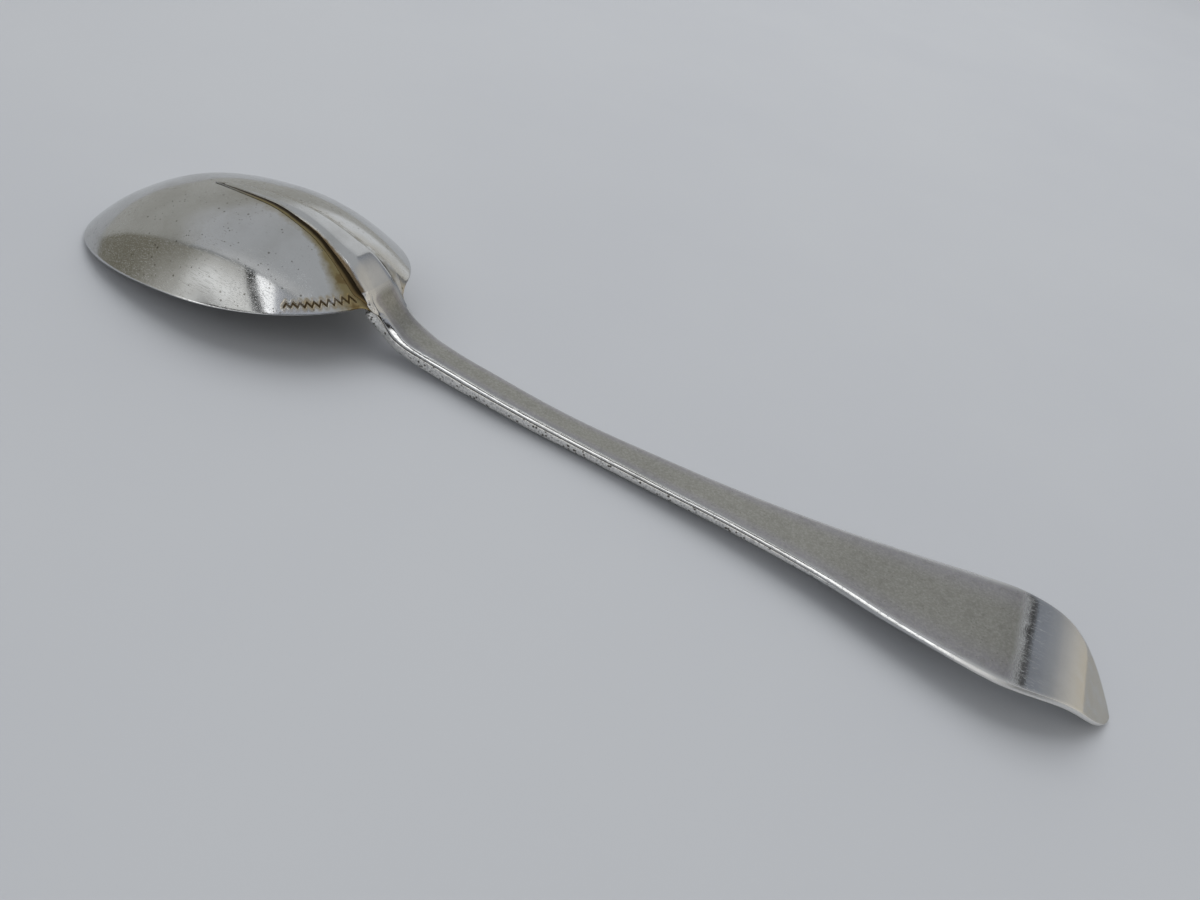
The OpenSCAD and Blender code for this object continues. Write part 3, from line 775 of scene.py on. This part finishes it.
def seam_rows():
    """Top and base of the solder in the seam under the neck, [row, column, xyz]."""
    top = []
    base = []
    for t in np.linspace(0.03, 0.985, SEAM_ROWS):
        s = float(mix(HEEL, TAB, t))
        mid = seam(np.array([s]))[0]
        down = inward(s)
        across = [seam_y(s, i) for i in FILM_COLUMNS]
        top.append([side_point(mid + down * SEAM_TOP, y) for y in across])
        base.append([side_point(mid + down * SEAM_GAP, y) for y in across])
    return np.array(top), np.array(base)


def make_solder():
    """Film of solder under the rat-tail and the scarf, with its fillet, and on into the seam."""
    gs = np.concatenate([np.linspace(0.4215, 0.5, 30), np.linspace(0.5, SCARF_U, 150)[1:],
                         np.linspace(SCARF_U, 0.996, 14)[1:]])
    film_top, film_base = film_rows(gs)
    seam_top, seam_base = seam_rows()
    top = np.concatenate([film_top, seam_top])
    base = np.concatenate([film_base, seam_base])
    loops = np.concatenate([top, base[:, ::-1]], 1)
    rows, cols = loops.shape[:2]
    along = np.repeat(np.concatenate([gs, np.ones(SEAM_ROWS)]), cols)
    across = np.array(FILM_COLUMNS + FILM_COLUMNS[::-1])
    out = np.clip((np.abs(across) - FILLET_START) / (FILLET_END - FILLET_START), 0, 1)
    fields = {"along": along, "side": np.tile(np.sign(across), rows), "out": np.tile(out, rows)}
    return loops.reshape(-1, 3), loop_faces(rows, cols, flip=True), fields


# Heel block

HIDDEN_S = [-0.0165, -0.0125, -0.0075, -0.003]
HIDDEN_BACK = [0.9420, 0.9550, 0.9680, 0.9790]
HIDDEN_WIDE = [0.95, 1.0, 1.0, 1.0]
INNER_SHARE = 0.4


def block_half(s, side):
    """Columns of the block's wall on one side, from the seam to the underside."""
    columns = side_columns(s, side)[CREASE_COLUMN:]
    sway = bend(s)
    half = []
    y_crease = columns[0][0]
    over = ramp(s, RIM_MEETS, HEEL)
    y_inner = side * INNER_SHARE * y_crease + sway
    inner = on_back(lap_g(s) * BOWL_LEN, y_inner, -0.5 * BOWL_T)
    under_seam = side_point(seam(s) + inward(s) * SEAM_GAP, y_inner)
    half.append(mix(inner, under_seam, over[:, None]))
    for k, (y, d) in enumerate(columns):
        d = d + (SEAM_GAP if k == 0 else 0)
        half.append(side_point(below_seam(s, d), side * y + sway))
    return half


def hidden_half(side):
    """The block's start inside the bowl, in the same number of columns."""
    s = np.array(HIDDEN_S)
    wide = HEEL_W / 2 * np.array(HIDDEN_WIDE)
    front = crest(s) + inward(s) * depth(s)[:, None]
    count = LAST_COLUMN - CREASE_COLUMN + 2
    half = []
    for k in range(count):
        t = k / (count - 1)
        share = INNER_SHARE if k in (0, count - 1) else 1 - 0.2 * abs(2 * t - 1)
        y = side * wide * share + bend(s)
        back = on_back(np.array(HIDDEN_BACK) * BOWL_LEN, y, -0.5 * BOWL_T)
        half.append(mix(back, side_point(front, y), min(max(1.4 * t - 0.2, 0), 1)))
    return half


def make_block():
    """Heel block and tab under the neck, flush with the handle."""
    s = np.linspace(RIM_MEETS, TAB, 90)
    near = [np.concatenate(pair) for pair in zip(hidden_half(-1), block_half(s, -1))]
    far = [np.concatenate(pair) for pair in zip(hidden_half(1), block_half(s, 1))]
    level = np.arange(len(near)) + CREASE_COLUMN - 1
    loops = np.stack(near + far[::-1], 1)
    loops, column = rounded(loops, np.concatenate([level, level[::-1]]))
    rows, cols = loops.shape[:2]
    fields = {"column": np.maximum(column, CREASE_COLUMN),
              "along": np.repeat(np.concatenate([HIDDEN_S, s]), cols)}
    return loops.reshape(-1, 3), loop_faces(rows, cols), fields


# Materials

class Nodes:
    """Short way to write a node tree."""

    def __init__(self, tree):
        self.tree = tree

    def node(self, kind, **values):
        node = self.tree.nodes.new(kind)
        for key, value in values.items():
            setattr(node, key, value)
        return node

    def link(self, source, target):
        self.tree.links.new(source, target)

    def value(self, source, socket):
        if isinstance(source, (int, float, tuple, list)):
            socket.default_value = source
        else:
            self.link(source, socket)

    def math(self, operation, a, b=0.0, c=0.0, clamp=False):
        node = self.node("ShaderNodeMath", operation=operation, use_clamp=clamp)
        self.value(a, node.inputs[0])
        self.value(b, node.inputs[1])
        self.value(c, node.inputs[2])
        return node.outputs[0]

    def product(self, *factors):
        result = factors[0]
        for factor in factors[1:]:
            result = self.math("MULTIPLY", result, factor)
        return result

    def side_of(self, direction, plane):
        """Distance of a direction from a plane through the middle, given by its normal."""
        node = self.node("ShaderNodeVectorMath", operation="DOT_PRODUCT")
        self.link(direction, node.inputs[0])
        node.inputs[1].default_value = plane
        return node.outputs["Value"]

    def field(self, name):
        return self.node("ShaderNodeAttribute", attribute_name=name).outputs["Fac"]

    def place(self, scale=(1, 1, 1), rotation=(0, 0, 0)):
        coord = self.node("ShaderNodeTexCoord").outputs["Object"]
        mapping = self.node("ShaderNodeMapping")
        mapping.inputs["Scale"].default_value = scale
        mapping.inputs["Rotation"].default_value = rotation
        self.link(coord, mapping.inputs["Vector"])
        return mapping.outputs["Vector"]

    def noise(self, scale, detail=3.0, rough=0.5, vector=None):
        node = self.node("ShaderNodeTexNoise")
        node.inputs["Scale"].default_value = scale
        node.inputs["Detail"].default_value = detail
        node.inputs["Roughness"].default_value = rough
        self.link(vector or self.place(), node.inputs["Vector"])
        return node.outputs["Fac"]

    def cells(self, scale, vector=None):
        node = self.node("ShaderNodeTexVoronoi", feature="F1")
        node.inputs["Scale"].default_value = scale
        self.link(vector or self.place(), node.inputs["Vector"])
        return node.outputs["Distance"]

    def step(self, source, lo, hi, out_lo=0.0, out_hi=1.0):
        node = self.node("ShaderNodeMapRange", interpolation_type="SMOOTHSTEP")
        self.value(source, node.inputs["Value"])
        node.inputs["From Min"].default_value = lo
        node.inputs["From Max"].default_value = hi
        node.inputs["To Min"].default_value = out_lo
        node.inputs["To Max"].default_value = out_hi
        return node.outputs["Result"]

    def below(self, source, lo, hi):
        """1 under lo and 0 over hi."""
        return self.step(source, lo, hi, 1.0, 0.0)

    def close(self, source, lo, hi):
        """1 within lo of zero and 0 beyond hi."""
        return self.below(self.math("ABSOLUTE", source), lo, hi)

    def blend(self, amount, a, b):
        node = self.node("ShaderNodeMix", data_type="RGBA")
        self.value(amount, node.inputs["Factor"])
        self.value(a, node.inputs[6])
        self.value(b, node.inputs[7])
        return node.outputs[2]

    def bump(self, height, strength, distance, normal=None):
        node = self.node("ShaderNodeBump")
        node.inputs["Strength"].default_value = strength
        node.inputs["Distance"].default_value = distance
        self.link(height, node.inputs["Height"])
        if normal is not None:
            self.link(normal, node.inputs["Normal"])
        return node.outputs["Normal"]


SILVER = (0.55, 0.555, 0.555, 1)
DULL_SILVER = (0.475, 0.475, 0.465, 1)
MATTE_MIDDLE = (0.29, 0.285, 0.255, 1)
MATTE_EDGE = (0.315, 0.305, 0.32, 1)
MATTE_DARK = (0.18, 0.175, 0.155, 1)
MATTE_LIGHT = (0.42, 0.415, 0.39, 1)
WALL_LIGHT = (0.82, 0.81, 0.78, 1)
TARNISH = (0.28, 0.23, 0.12, 1)
WARM_TIP_REFLECTION = (0.50, 0.46, 0.37, 1)
BROWN = (0.17, 0.115, 0.05, 1)
DIRT_AND_SHADE = (0.035, 0.025, 0.014, 1)
SPECK = (0.13, 0.12, 0.10, 1)
INSIDE = (0.20, 0.19, 0.16, 1)
ZIG_HAZE = (0.36, 0.28, 0.15, 1)
ZIG_DIRT = (0.075, 0.05, 0.022, 1)
SOLDER_CLEAN = (0.40, 0.38, 0.33, 1)
FLOOR_COOL = (0.495, 0.51, 0.54, 1)
FLOOR_WARM = (0.515, 0.53, 0.555, 1)


def metal(name):
    """New metal material with its node helper and its shader."""
    material = bpy.data.materials.new(name)
    material.use_nodes = True
    shader = material.node_tree.nodes["Principled BSDF"]
    shader.inputs["Metallic"].default_value = 1.0
    return material, Nodes(material.node_tree), shader


def scratches(n, scale, angle, stretch=40.0, lo=0.62, hi=0.70):
    """Fine lines: noise drawn out along one direction."""
    vector = n.place(scale=(1, stretch, stretch), rotation=(0, 0, angle))
    return n.step(n.noise(scale, 2.0, 0.6, vector), lo, hi)


def specks(n, scale, size, patch_scale, lo):
    """Small dots, gathered in loose patches."""
    dots = n.below(n.cells(scale), size, size * 2.2)
    return n.product(dots, n.step(n.noise(patch_scale, 2), lo, lo + 0.1))


def silver_bowl():
    material, n, shader = metal("silver_bowl")
    cloud = n.noise(90, 4, 0.6)
    patch = n.noise(420, 4, 0.65)
    root = n.field("root")
    along = n.field("along")
    heel = n.field("heel")
    zig = n.field("zig")
    near_side = n.below(n.field("side"), -0.2, 0.2)
    colour = n.blend(n.step(cloud, 0.38, 0.72), SILVER, DULL_SILVER)
    # yellow tarnish that spreads from the rat-tail's root, most at the heel
    reach = n.math("MULTIPLY_ADD", patch, 3.6, n.math("MULTIPLY_ADD", heel, 4.5, 0.6))
    near_root = n.math("SUBTRACT", 1.0, n.math("DIVIDE", root, reach), clamp=True)
    stain = n.product(near_root, along, n.math("MULTIPLY_ADD", near_side, 0.75, 0.25))
    colour = n.blend(n.math("MULTIPLY", stain, 1.9, clamp=True), colour, TARNISH)
    mottle = n.product(n.step(patch, 0.48, 0.60), n.step(stain, 0.1, 0.6), n.step(heel, 0.1, 0.7),
                       0.8)
    colour = n.blend(mottle, colour, BROWN)
    # dark painted shade and dirt in the corner itself, on the near side only, wider towards the heel
    width = n.math("MULTIPLY_ADD", heel, 1.5, n.math("MULTIPLY_ADD", patch, 1.0, 0.15))
    corner = n.math("SUBTRACT", 1.0, n.math("DIVIDE", root, width), clamp=True)
    corner = n.product(n.step(corner, 0.0, 0.45), n.step(along, 0.02, 0.2), near_side)
    colour = n.blend(n.math("MULTIPLY", corner, 0.9), colour, BROWN)
    # zig-zag filled with dirt, with a brown haze round it
    filled = n.product(n.below(zig, 0.08, 0.22), n.step(patch, 0.25, 0.6, 0.5, 1.0))
    haze = n.product(n.below(zig, 0.3, 0.8), n.step(patch, 0.35, 0.65))
    colour = n.blend(n.math("MULTIPLY", haze, 0.75), colour, ZIG_HAZE)
    colour = n.blend(filled, colour, ZIG_DIRT)
    # short scratches, the dull inside and small dots
    marks = n.math("ADD", scratches(n, 420, 0.9, 14.0, 0.70, 0.76),
                   scratches(n, 380, -0.5, 14.0, 0.70, 0.76))
    colour = n.blend(n.math("MULTIPLY", marks, 0.45, clamp=True), colour, SPECK)
    colour = n.blend(n.math("MULTIPLY", n.field("inside"), 0.6), colour, INSIDE)
    dots = n.math("MAXIMUM", specks(n, 620, 0.075, 90, 0.46), specks(n, 1100, 0.09, 200, 0.50))
    colour = n.blend(n.math("MULTIPLY", dots, 0.75), colour, SPECK)
    n.link(colour, shader.inputs["Base Color"])
    dull = n.math("ADD", n.math("MULTIPLY", stain, 0.2), n.math("MULTIPLY", filled, 0.4))
    dull = n.math("ADD", dull, n.step(cloud, 0.3, 0.8, 0.08, 0.17))
    n.link(dull, shader.inputs["Roughness"])
    lines = n.math("ADD", scratches(n, 300, 0.6), scratches(n, 260, -0.9))
    wave = n.noise(55, 2, 0.5)
    normal = n.bump(wave, 0.35, 0.0004)
    normal = n.bump(lines, 0.3, 0.00002, normal)
    normal = n.bump(n.noise(1500, 3), 0.2, 0.00002, normal)
    n.link(normal, shader.inputs["Normal"])
    return material


def silver_tail():
    material, n, shader = metal("silver_tail")
    cloud = n.noise(120, 4, 0.6)
    patch = n.noise(500, 4, 0.65)
    along = n.field("along")
    column = n.field("column")
    colour = n.blend(n.step(cloud, 0.35, 0.75), SILVER, DULL_SILVER)
    # the near foot is darkened with painted shade and dirt, over a growing height towards the heel
    height = n.step(along, 0.55, 0.93, 1.35, 2.9)
    height = n.math("MULTIPLY_ADD", patch, 1.2, n.math("SUBTRACT", height, 0.6))
    near_foot_shade_and_dirt = n.below(n.math("SUBTRACT", column, height), -0.5, 0.2)
    colour = n.blend(n.product(near_foot_shade_and_dirt, n.step(along, 0.5, 0.62), 0.9), colour, BROWN)
    far_foot = n.step(column, 13.4, 14.4)
    colour = n.blend(n.product(far_foot, n.step(patch, 0.4, 0.6), 0.8), colour, TARNISH)
    colour = n.blend(n.math("MULTIPLY", specks(n, 900, 0.07, 260, 0.52), 0.7), colour, SPECK)
    n.link(colour, shader.inputs["Base Color"])
    rough = n.math("ADD", n.step(cloud, 0.3, 0.8, 0.15, 0.25), n.math("MULTIPLY", near_foot_shade_and_dirt, 0.25))
    n.link(rough, shader.inputs["Roughness"])
    normal = n.bump(n.noise(140, 2), 0.3, 0.0001)
    normal = n.bump(scratches(n, 320, 0.15), 0.3, 0.00002, normal)
    n.link(normal, shader.inputs["Normal"])
    return material


def silver_stem():
    """Matte back, polished wall bands, a pitted lower wall and a polished turned-down end."""
    material, n, shader = metal("silver_stem")
    cloud = n.noise(70, 5, 0.65)
    fine = n.noise(2400, 4, 0.7)
    patch = n.noise(420, 3, 0.6)
    column = n.field("column")
    along = n.field("along")
    back = n.below(column, 1.6, 2.3)
    # matte from the scarf to the polished end, with soft limits
    wander = n.math("MULTIPLY_ADD", patch, 0.003, -0.0015)
    place = n.math("ADD", along, wander)
    matte = n.product(n.step(place, -0.018, -0.009),
                      n.below(place, END_POLISH - POLISH_SOFT, END_POLISH), back)
    edge = n.step(column, 0.5, 1.7)
    dark = n.blend(edge, MATTE_MIDDLE, MATTE_EDGE)
    dark = n.blend(n.step(fine, 0.40, 0.68, 0.0, 0.55), dark, MATTE_LIGHT)
    dark = n.blend(n.step(n.noise(700, 3, 0.6), 0.45, 0.75, 0.0, 0.3), dark, MATTE_DARK)
    dark = n.blend(n.math("MULTIPLY", specks(n, 1500, 0.10, 420, 0.45), 0.45), dark, SPECK)
    bright = n.blend(n.step(cloud, 0.35, 0.75), SILVER, DULL_SILVER)
    colour = n.blend(matte, bright, dark)
    # painted shade and dirt in the crease, from the bowl's heel on
    crease = n.close(n.math("SUBTRACT", column, CREASE_COLUMN + 0.5), 0.6, 1.1)
    wall_end = n.below(along, CREASE_FADE, CREASE_END)
    colour = n.blend(n.product(crease, wall_end, n.step(along, -0.002, 0.008), 0.85), colour, DIRT_AND_SHADE)
    # warm painted reflection of the shaded table, near the end's tip
    tip = n.product(n.step(along, 0.925, 0.965), n.step(patch, 0.3, 0.6, 0.5, 1.0))
    colour = n.blend(n.product(tip, 0.8), colour, WARM_TIP_REFLECTION)
    # pitted wall under the crease, and the filed edge of the end
    low = n.product(n.step(column, CREASE_COLUMN + 1, CREASE_COLUMN + 2), wall_end)
    wall = n.blend(n.step(fine, 0.4, 0.7), WALL_LIGHT, DULL_SILVER)
    colour = n.blend(low, colour, wall)
    pits = n.math("MAXIMUM", specks(n, 1300, 0.18, 420, 0.42), specks(n, 520, 0.08, 150, 0.55))
    colour = n.blend(n.product(pits, low, 0.9), colour, DIRT_AND_SHADE)
    filed = n.product(n.step(column, 1.8, 2.6), n.step(along, 0.78, 0.84))
    colour = n.blend(filed, colour, WALL_LIGHT)
    n.link(colour, shader.inputs["Base Color"])
    rough = n.math("ADD", n.step(cloud, 0.3, 0.8, 0.16, 0.24), n.math("MULTIPLY", matte, 0.17))
    rough = n.math("ADD", rough, n.math("MULTIPLY", low, 0.18))
    band = n.product(n.step(column, 2.3, 2.8), n.below(column, 4.3, 4.8))
    rough = n.math("SUBTRACT", rough, n.math("MULTIPLY", band, 0.07))
    rough = n.math("ADD", rough, n.math("MULTIPLY", filed, 0.32))
    rough = n.math("SUBTRACT", rough, n.step(along, END_POLISH - POLISH_SOFT, END_POLISH, 0.0, 0.1))
    n.link(rough, shader.inputs["Roughness"])
    normal = n.bump(n.noise(60, 3), 0.25, 0.0003)
    grain = n.math("MULTIPLY", fine, n.math("MULTIPLY_ADD", matte, 0.8, 0.2))
    normal = n.bump(grain, 0.5, 0.00004, normal)
    normal = n.bump(scratches(n, 240, 0.2), 0.25, 0.00002, normal)
    normal = n.bump(n.product(pits, low), 0.6, 0.00008, normal)
    n.link(normal, shader.inputs["Normal"])
    return material


def solder_material():
    material, n, shader = metal("solder_seam")
    patch = n.noise(420, 4, 0.65)
    along = n.field("along")
    side = n.field("side")
    clean = n.blend(n.step(patch, 0.3, 0.7), SILVER, SOLDER_CLEAN)
    edge = n.math("MULTIPLY_ADD", patch, 0.5, n.math("SUBTRACT", n.field("out"), 0.25))
    light = n.blend(n.step(along, 0.45, 0.62), DULL_SILVER, TARNISH)
    light = n.blend(n.product(n.step(along, 0.75, 0.95), 0.8), light, BROWN)
    # near side: painted shade with dirt at the foot of the fillet, tarnish further out
    shaded_and_dirty = n.blend(n.step(edge, 0.35, 0.95), DIRT_AND_SHADE, light)
    near = n.below(side, -0.2, 0.2)
    colour = n.blend(n.product(near, n.step(along, 0.42, 0.46)), clean, shaded_and_dirty)
    n.link(colour, shader.inputs["Base Color"])
    n.link(n.step(patch, 0.3, 0.7, 0.25, 0.45), shader.inputs["Roughness"])
    n.link(n.bump(n.noise(900, 3), 0.4, 0.00005), shader.inputs["Normal"])
    return material


def floor_material():
    material = bpy.data.materials.new("pale_table")
    material.use_nodes = True
    n = Nodes(material.node_tree)
    shader = material.node_tree.nodes["Principled BSDF"]
    cloud = n.noise(6, 4, 0.6)
    colour = n.blend(n.step(cloud, 0.3, 0.7), FLOOR_COOL, FLOOR_WARM)
    n.link(colour, shader.inputs["Base Color"])
    shader.inputs["Roughness"].default_value = 0.7
    shader.inputs["Specular IOR Level"].default_value = 0.2
    return material


# Pieces

def make_bowl_shell():
    points, zig, faces = make_bowl()
    return points, faces, bowl_fields(points, zig)


def dress():
    bowl_metal = silver_bowl()
    stem_metal = silver_stem()
    pieces = [("bowl_shell", make_bowl_shell(), "silver_bowl", ["bowl"], bowl_metal),
              ("bowl_heel", make_block(), "silver_bowl", ["bowl"], stem_metal),
              ("tail_smooth", make_tail(), "silver_tail", ["rat_tail"], silver_tail()),
              ("stem_smooth", make_stem(), "silver_stem", ["stem"], stem_metal),
              ("solder_line", make_solder(), "solder", ["solder"], solder_material())]
    for name, (points, faces, fields), slot, nodes, material in pieces:
        piece = new_piece(name, points, faces, fields, nodes)
        piece.data.materials.append(material)


# Stage and light

FLOOR_HALF = 3.0


def make_floor():
    mesh = bpy.data.meshes.new("table_top")
    half = FLOOR_HALF
    corners = [(-half, -half, 0), (half, -half, 0), (half, half, 0), (-half, half, 0)]
    mesh.from_pydata(corners, [], [(0, 1, 2, 3)])
    floor = bpy.data.objects.new("table_top", mesh)
    bpy.context.scene.collection.objects.link(floor)
    mesh.materials.append(floor_material())


LAMP_PLACE = (-0.15, 0.50, 1.05)
LAMP_SIZE = 1.1
LAMP_POWER = 7.0


def make_light():
    """Soft lamp over the table, aimed at the spoon and hidden from its reflections."""
    lamp = bpy.data.lights.new("overhead", "AREA")
    lamp.shape = "SQUARE"
    lamp.size = LAMP_SIZE
    lamp.energy = LAMP_POWER
    obj = bpy.data.objects.new("overhead", lamp)
    bpy.context.scene.collection.objects.link(obj)
    obj.location = LAMP_PLACE
    obj.rotation_euler = (-Vector(LAMP_PLACE)).to_track_quat("-Z", "Y").to_euler()
    obj.visible_glossy = False


# The studio round the spoon, as soft panels between planes through the spoon's middle. Each plane
# is given by its normal, and the limits in the functions are distances from it.
PANEL_TOP = (0, 0.872, 0.490)
POST = (0.810, 0.265, 0.524)
STRIP_END = (0.933, 0.221, 0.290)
CEILING_EDGE = (0.521, 0, 0.854)
FAR_CORNER = (0.988, -0.072, -0.138)

WORLD_STRENGTH = 1.08
CEILING_LOW = (0.53, 0.54, 0.555, 1)
CEILING_HIGH = (0.46, 0.475, 0.49, 1)
CEILING_LIT = (0.66, 0.67, 0.68, 1)
BACK_WALL = (0.75, 0.765, 0.78, 1)
LEFT_WALL = (0.40, 0.40, 0.375, 1)
RIGHT_WALL_NEAR = (0.27, 0.29, 0.33, 1)
RIGHT_WALL_LOW = (0.70, 0.67, 0.61, 1)
CORNER_LINE = (0.07, 0.07, 0.07, 1)
PANEL_DARK = (0.20, 0.19, 0.15, 1)
PANEL_BRIGHT = (1.05, 1.06, 1.05, 1)
STRIP_BRIGHT = (1.60, 1.61, 1.63, 1)
PANEL_BLUE = (0.46, 0.48, 0.53, 1)
PANEL_EDGE = (0.17, 0.18, 0.19, 1)
POST_DARK = (0.04, 0.04, 0.04, 1)
CAMERA_SIDE = (0.03, 0.03, 0.03, 1)
LOW_BAND = (1.9, 1.9, 1.9, 1)


def room(n, direction, panel_side, x, y, z):
    """Ceiling and walls, with the dark line in the far corner."""
    light = n.blend(n.step(z, 0.2, 1.0), CEILING_LOW, CEILING_HIGH)
    light = n.blend(n.step(y, 0.5, 0.7), light, BACK_WALL)
    light = n.blend(n.below(n.side_of(direction, CEILING_EDGE), -0.06, 0.06), light, LEFT_WALL)
    over_panel = n.product(n.below(panel_side, 0.0, 0.2), n.step(x, -0.8, -0.45))
    light = n.blend(over_panel, light, CEILING_LIT)
    corner = n.side_of(direction, FAR_CORNER)
    under_ceiling = n.below(z, 0.78, 0.92)
    right_wall = n.blend(n.step(x, 0.15, 0.85), RIGHT_WALL_NEAR, RIGHT_WALL_LOW)
    light = n.blend(n.product(n.step(corner, -0.01, 0.01), under_ceiling), light, right_wall)
    line = n.close(n.math("SUBTRACT", corner, 0.015), 0.01, 0.04)
    return n.blend(n.product(line, under_ceiling, n.step(y, 0.0, 0.2)), light, CORNER_LINE)


def near_panel(n, direction, panel_side, x, z):
    """Big soft panel on the near side, with a post and a brighter strip, and dark below it."""
    under_edge = n.step(panel_side, -0.30, -0.02, 1.0, 0.42)
    panel = n.blend(n.product(n.step(x, -0.92, -0.6), under_edge), PANEL_DARK, PANEL_BRIGHT)
    post = n.side_of(direction, POST)
    strip = n.blend(n.step(n.side_of(direction, STRIP_END), -0.02, 0.03), STRIP_BRIGHT, PANEL_BLUE)
    panel = n.blend(n.step(post, 0.03, 0.05), panel, strip)
    panel = n.blend(n.close(post, 0.036, 0.058), panel, POST_DARK)
    return n.blend(n.product(n.below(z, 0.36, 0.56), n.step(x, -0.75, -0.45)), panel, CAMERA_SIDE)


def make_world():
    world = bpy.data.worlds.new("studio")
    bpy.context.scene.world = world
    world.use_nodes = True
    n = Nodes(world.node_tree)
    direction = n.node("ShaderNodeTexCoord").outputs["Generated"]
    split = n.node("ShaderNodeSeparateXYZ")
    n.link(direction, split.inputs[0])
    x, y, z = split.outputs
    panel_side = n.side_of(direction, PANEL_TOP)
    light = n.blend(n.below(panel_side, -0.012, 0.012), room(n, direction, panel_side, x, y, z),
                    near_panel(n, direction, panel_side, x, z))
    panel_edge = n.product(n.close(panel_side, 0.006, 0.03), n.step(x, -0.92, -0.8), 0.7)
    light = n.blend(panel_edge, light, PANEL_EDGE)
    # bright band just over the table on the near side
    low = n.product(n.step(z, 0.0, 0.03), n.below(z, 0.17, 0.26), n.below(y, -0.3, -0.12),
                    n.step(x, -0.75, -0.6), n.below(x, 0.0, 0.2))
    light = n.blend(low, light, LOW_BAND)
    back = world.node_tree.nodes["Background"]
    n.link(light, back.inputs["Color"])
    back.inputs["Strength"].default_value = WORLD_STRENGTH


# Camera, fitted to the outline in the photograph

CAMERA_FOCAL_PX = 875.138
IMAGE_W = 1200
SENSOR_MM = 36.0
CAMERA_DIST = 155.989
CAMERA_AZ = math.radians(18.03)
CAMERA_EL = math.radians(40.564)
CAMERA_ROLL = math.radians(15.76)
CAMERA_TARGET = Vector((11.902, 1.485, 0))


def make_camera():
    level = math.cos(CAMERA_EL)
    back = Vector((math.sin(CAMERA_AZ) * level, -math.cos(CAMERA_AZ) * level, math.sin(CAMERA_EL)))
    right = (-back).cross(Vector((0, 0, 1))).normalized()
    up = right.cross(-back)
    r = math.cos(CAMERA_ROLL) * right + math.sin(CAMERA_ROLL) * up
    u = -math.sin(CAMERA_ROLL) * right + math.cos(CAMERA_ROLL) * up
    data = bpy.data.cameras.new("photo_camera")
    data.sensor_width = SENSOR_MM
    data.lens = CAMERA_FOCAL_PX * SENSOR_MM / IMAGE_W
    data.clip_start = 0.005
    data.clip_end = 20
    camera = bpy.data.objects.new("photo_camera", data)
    bpy.context.scene.collection.objects.link(camera)
    matrix = Matrix((r, u, back)).transposed().to_4x4()
    matrix.translation = (CAMERA_TARGET + back * CAMERA_DIST) * MM
    camera.matrix_world = matrix
    bpy.context.scene.camera = camera


dress()
make_floor()
make_world()
make_light()
make_camera()
bpy.context.scene.view_settings.view_transform = "Standard"
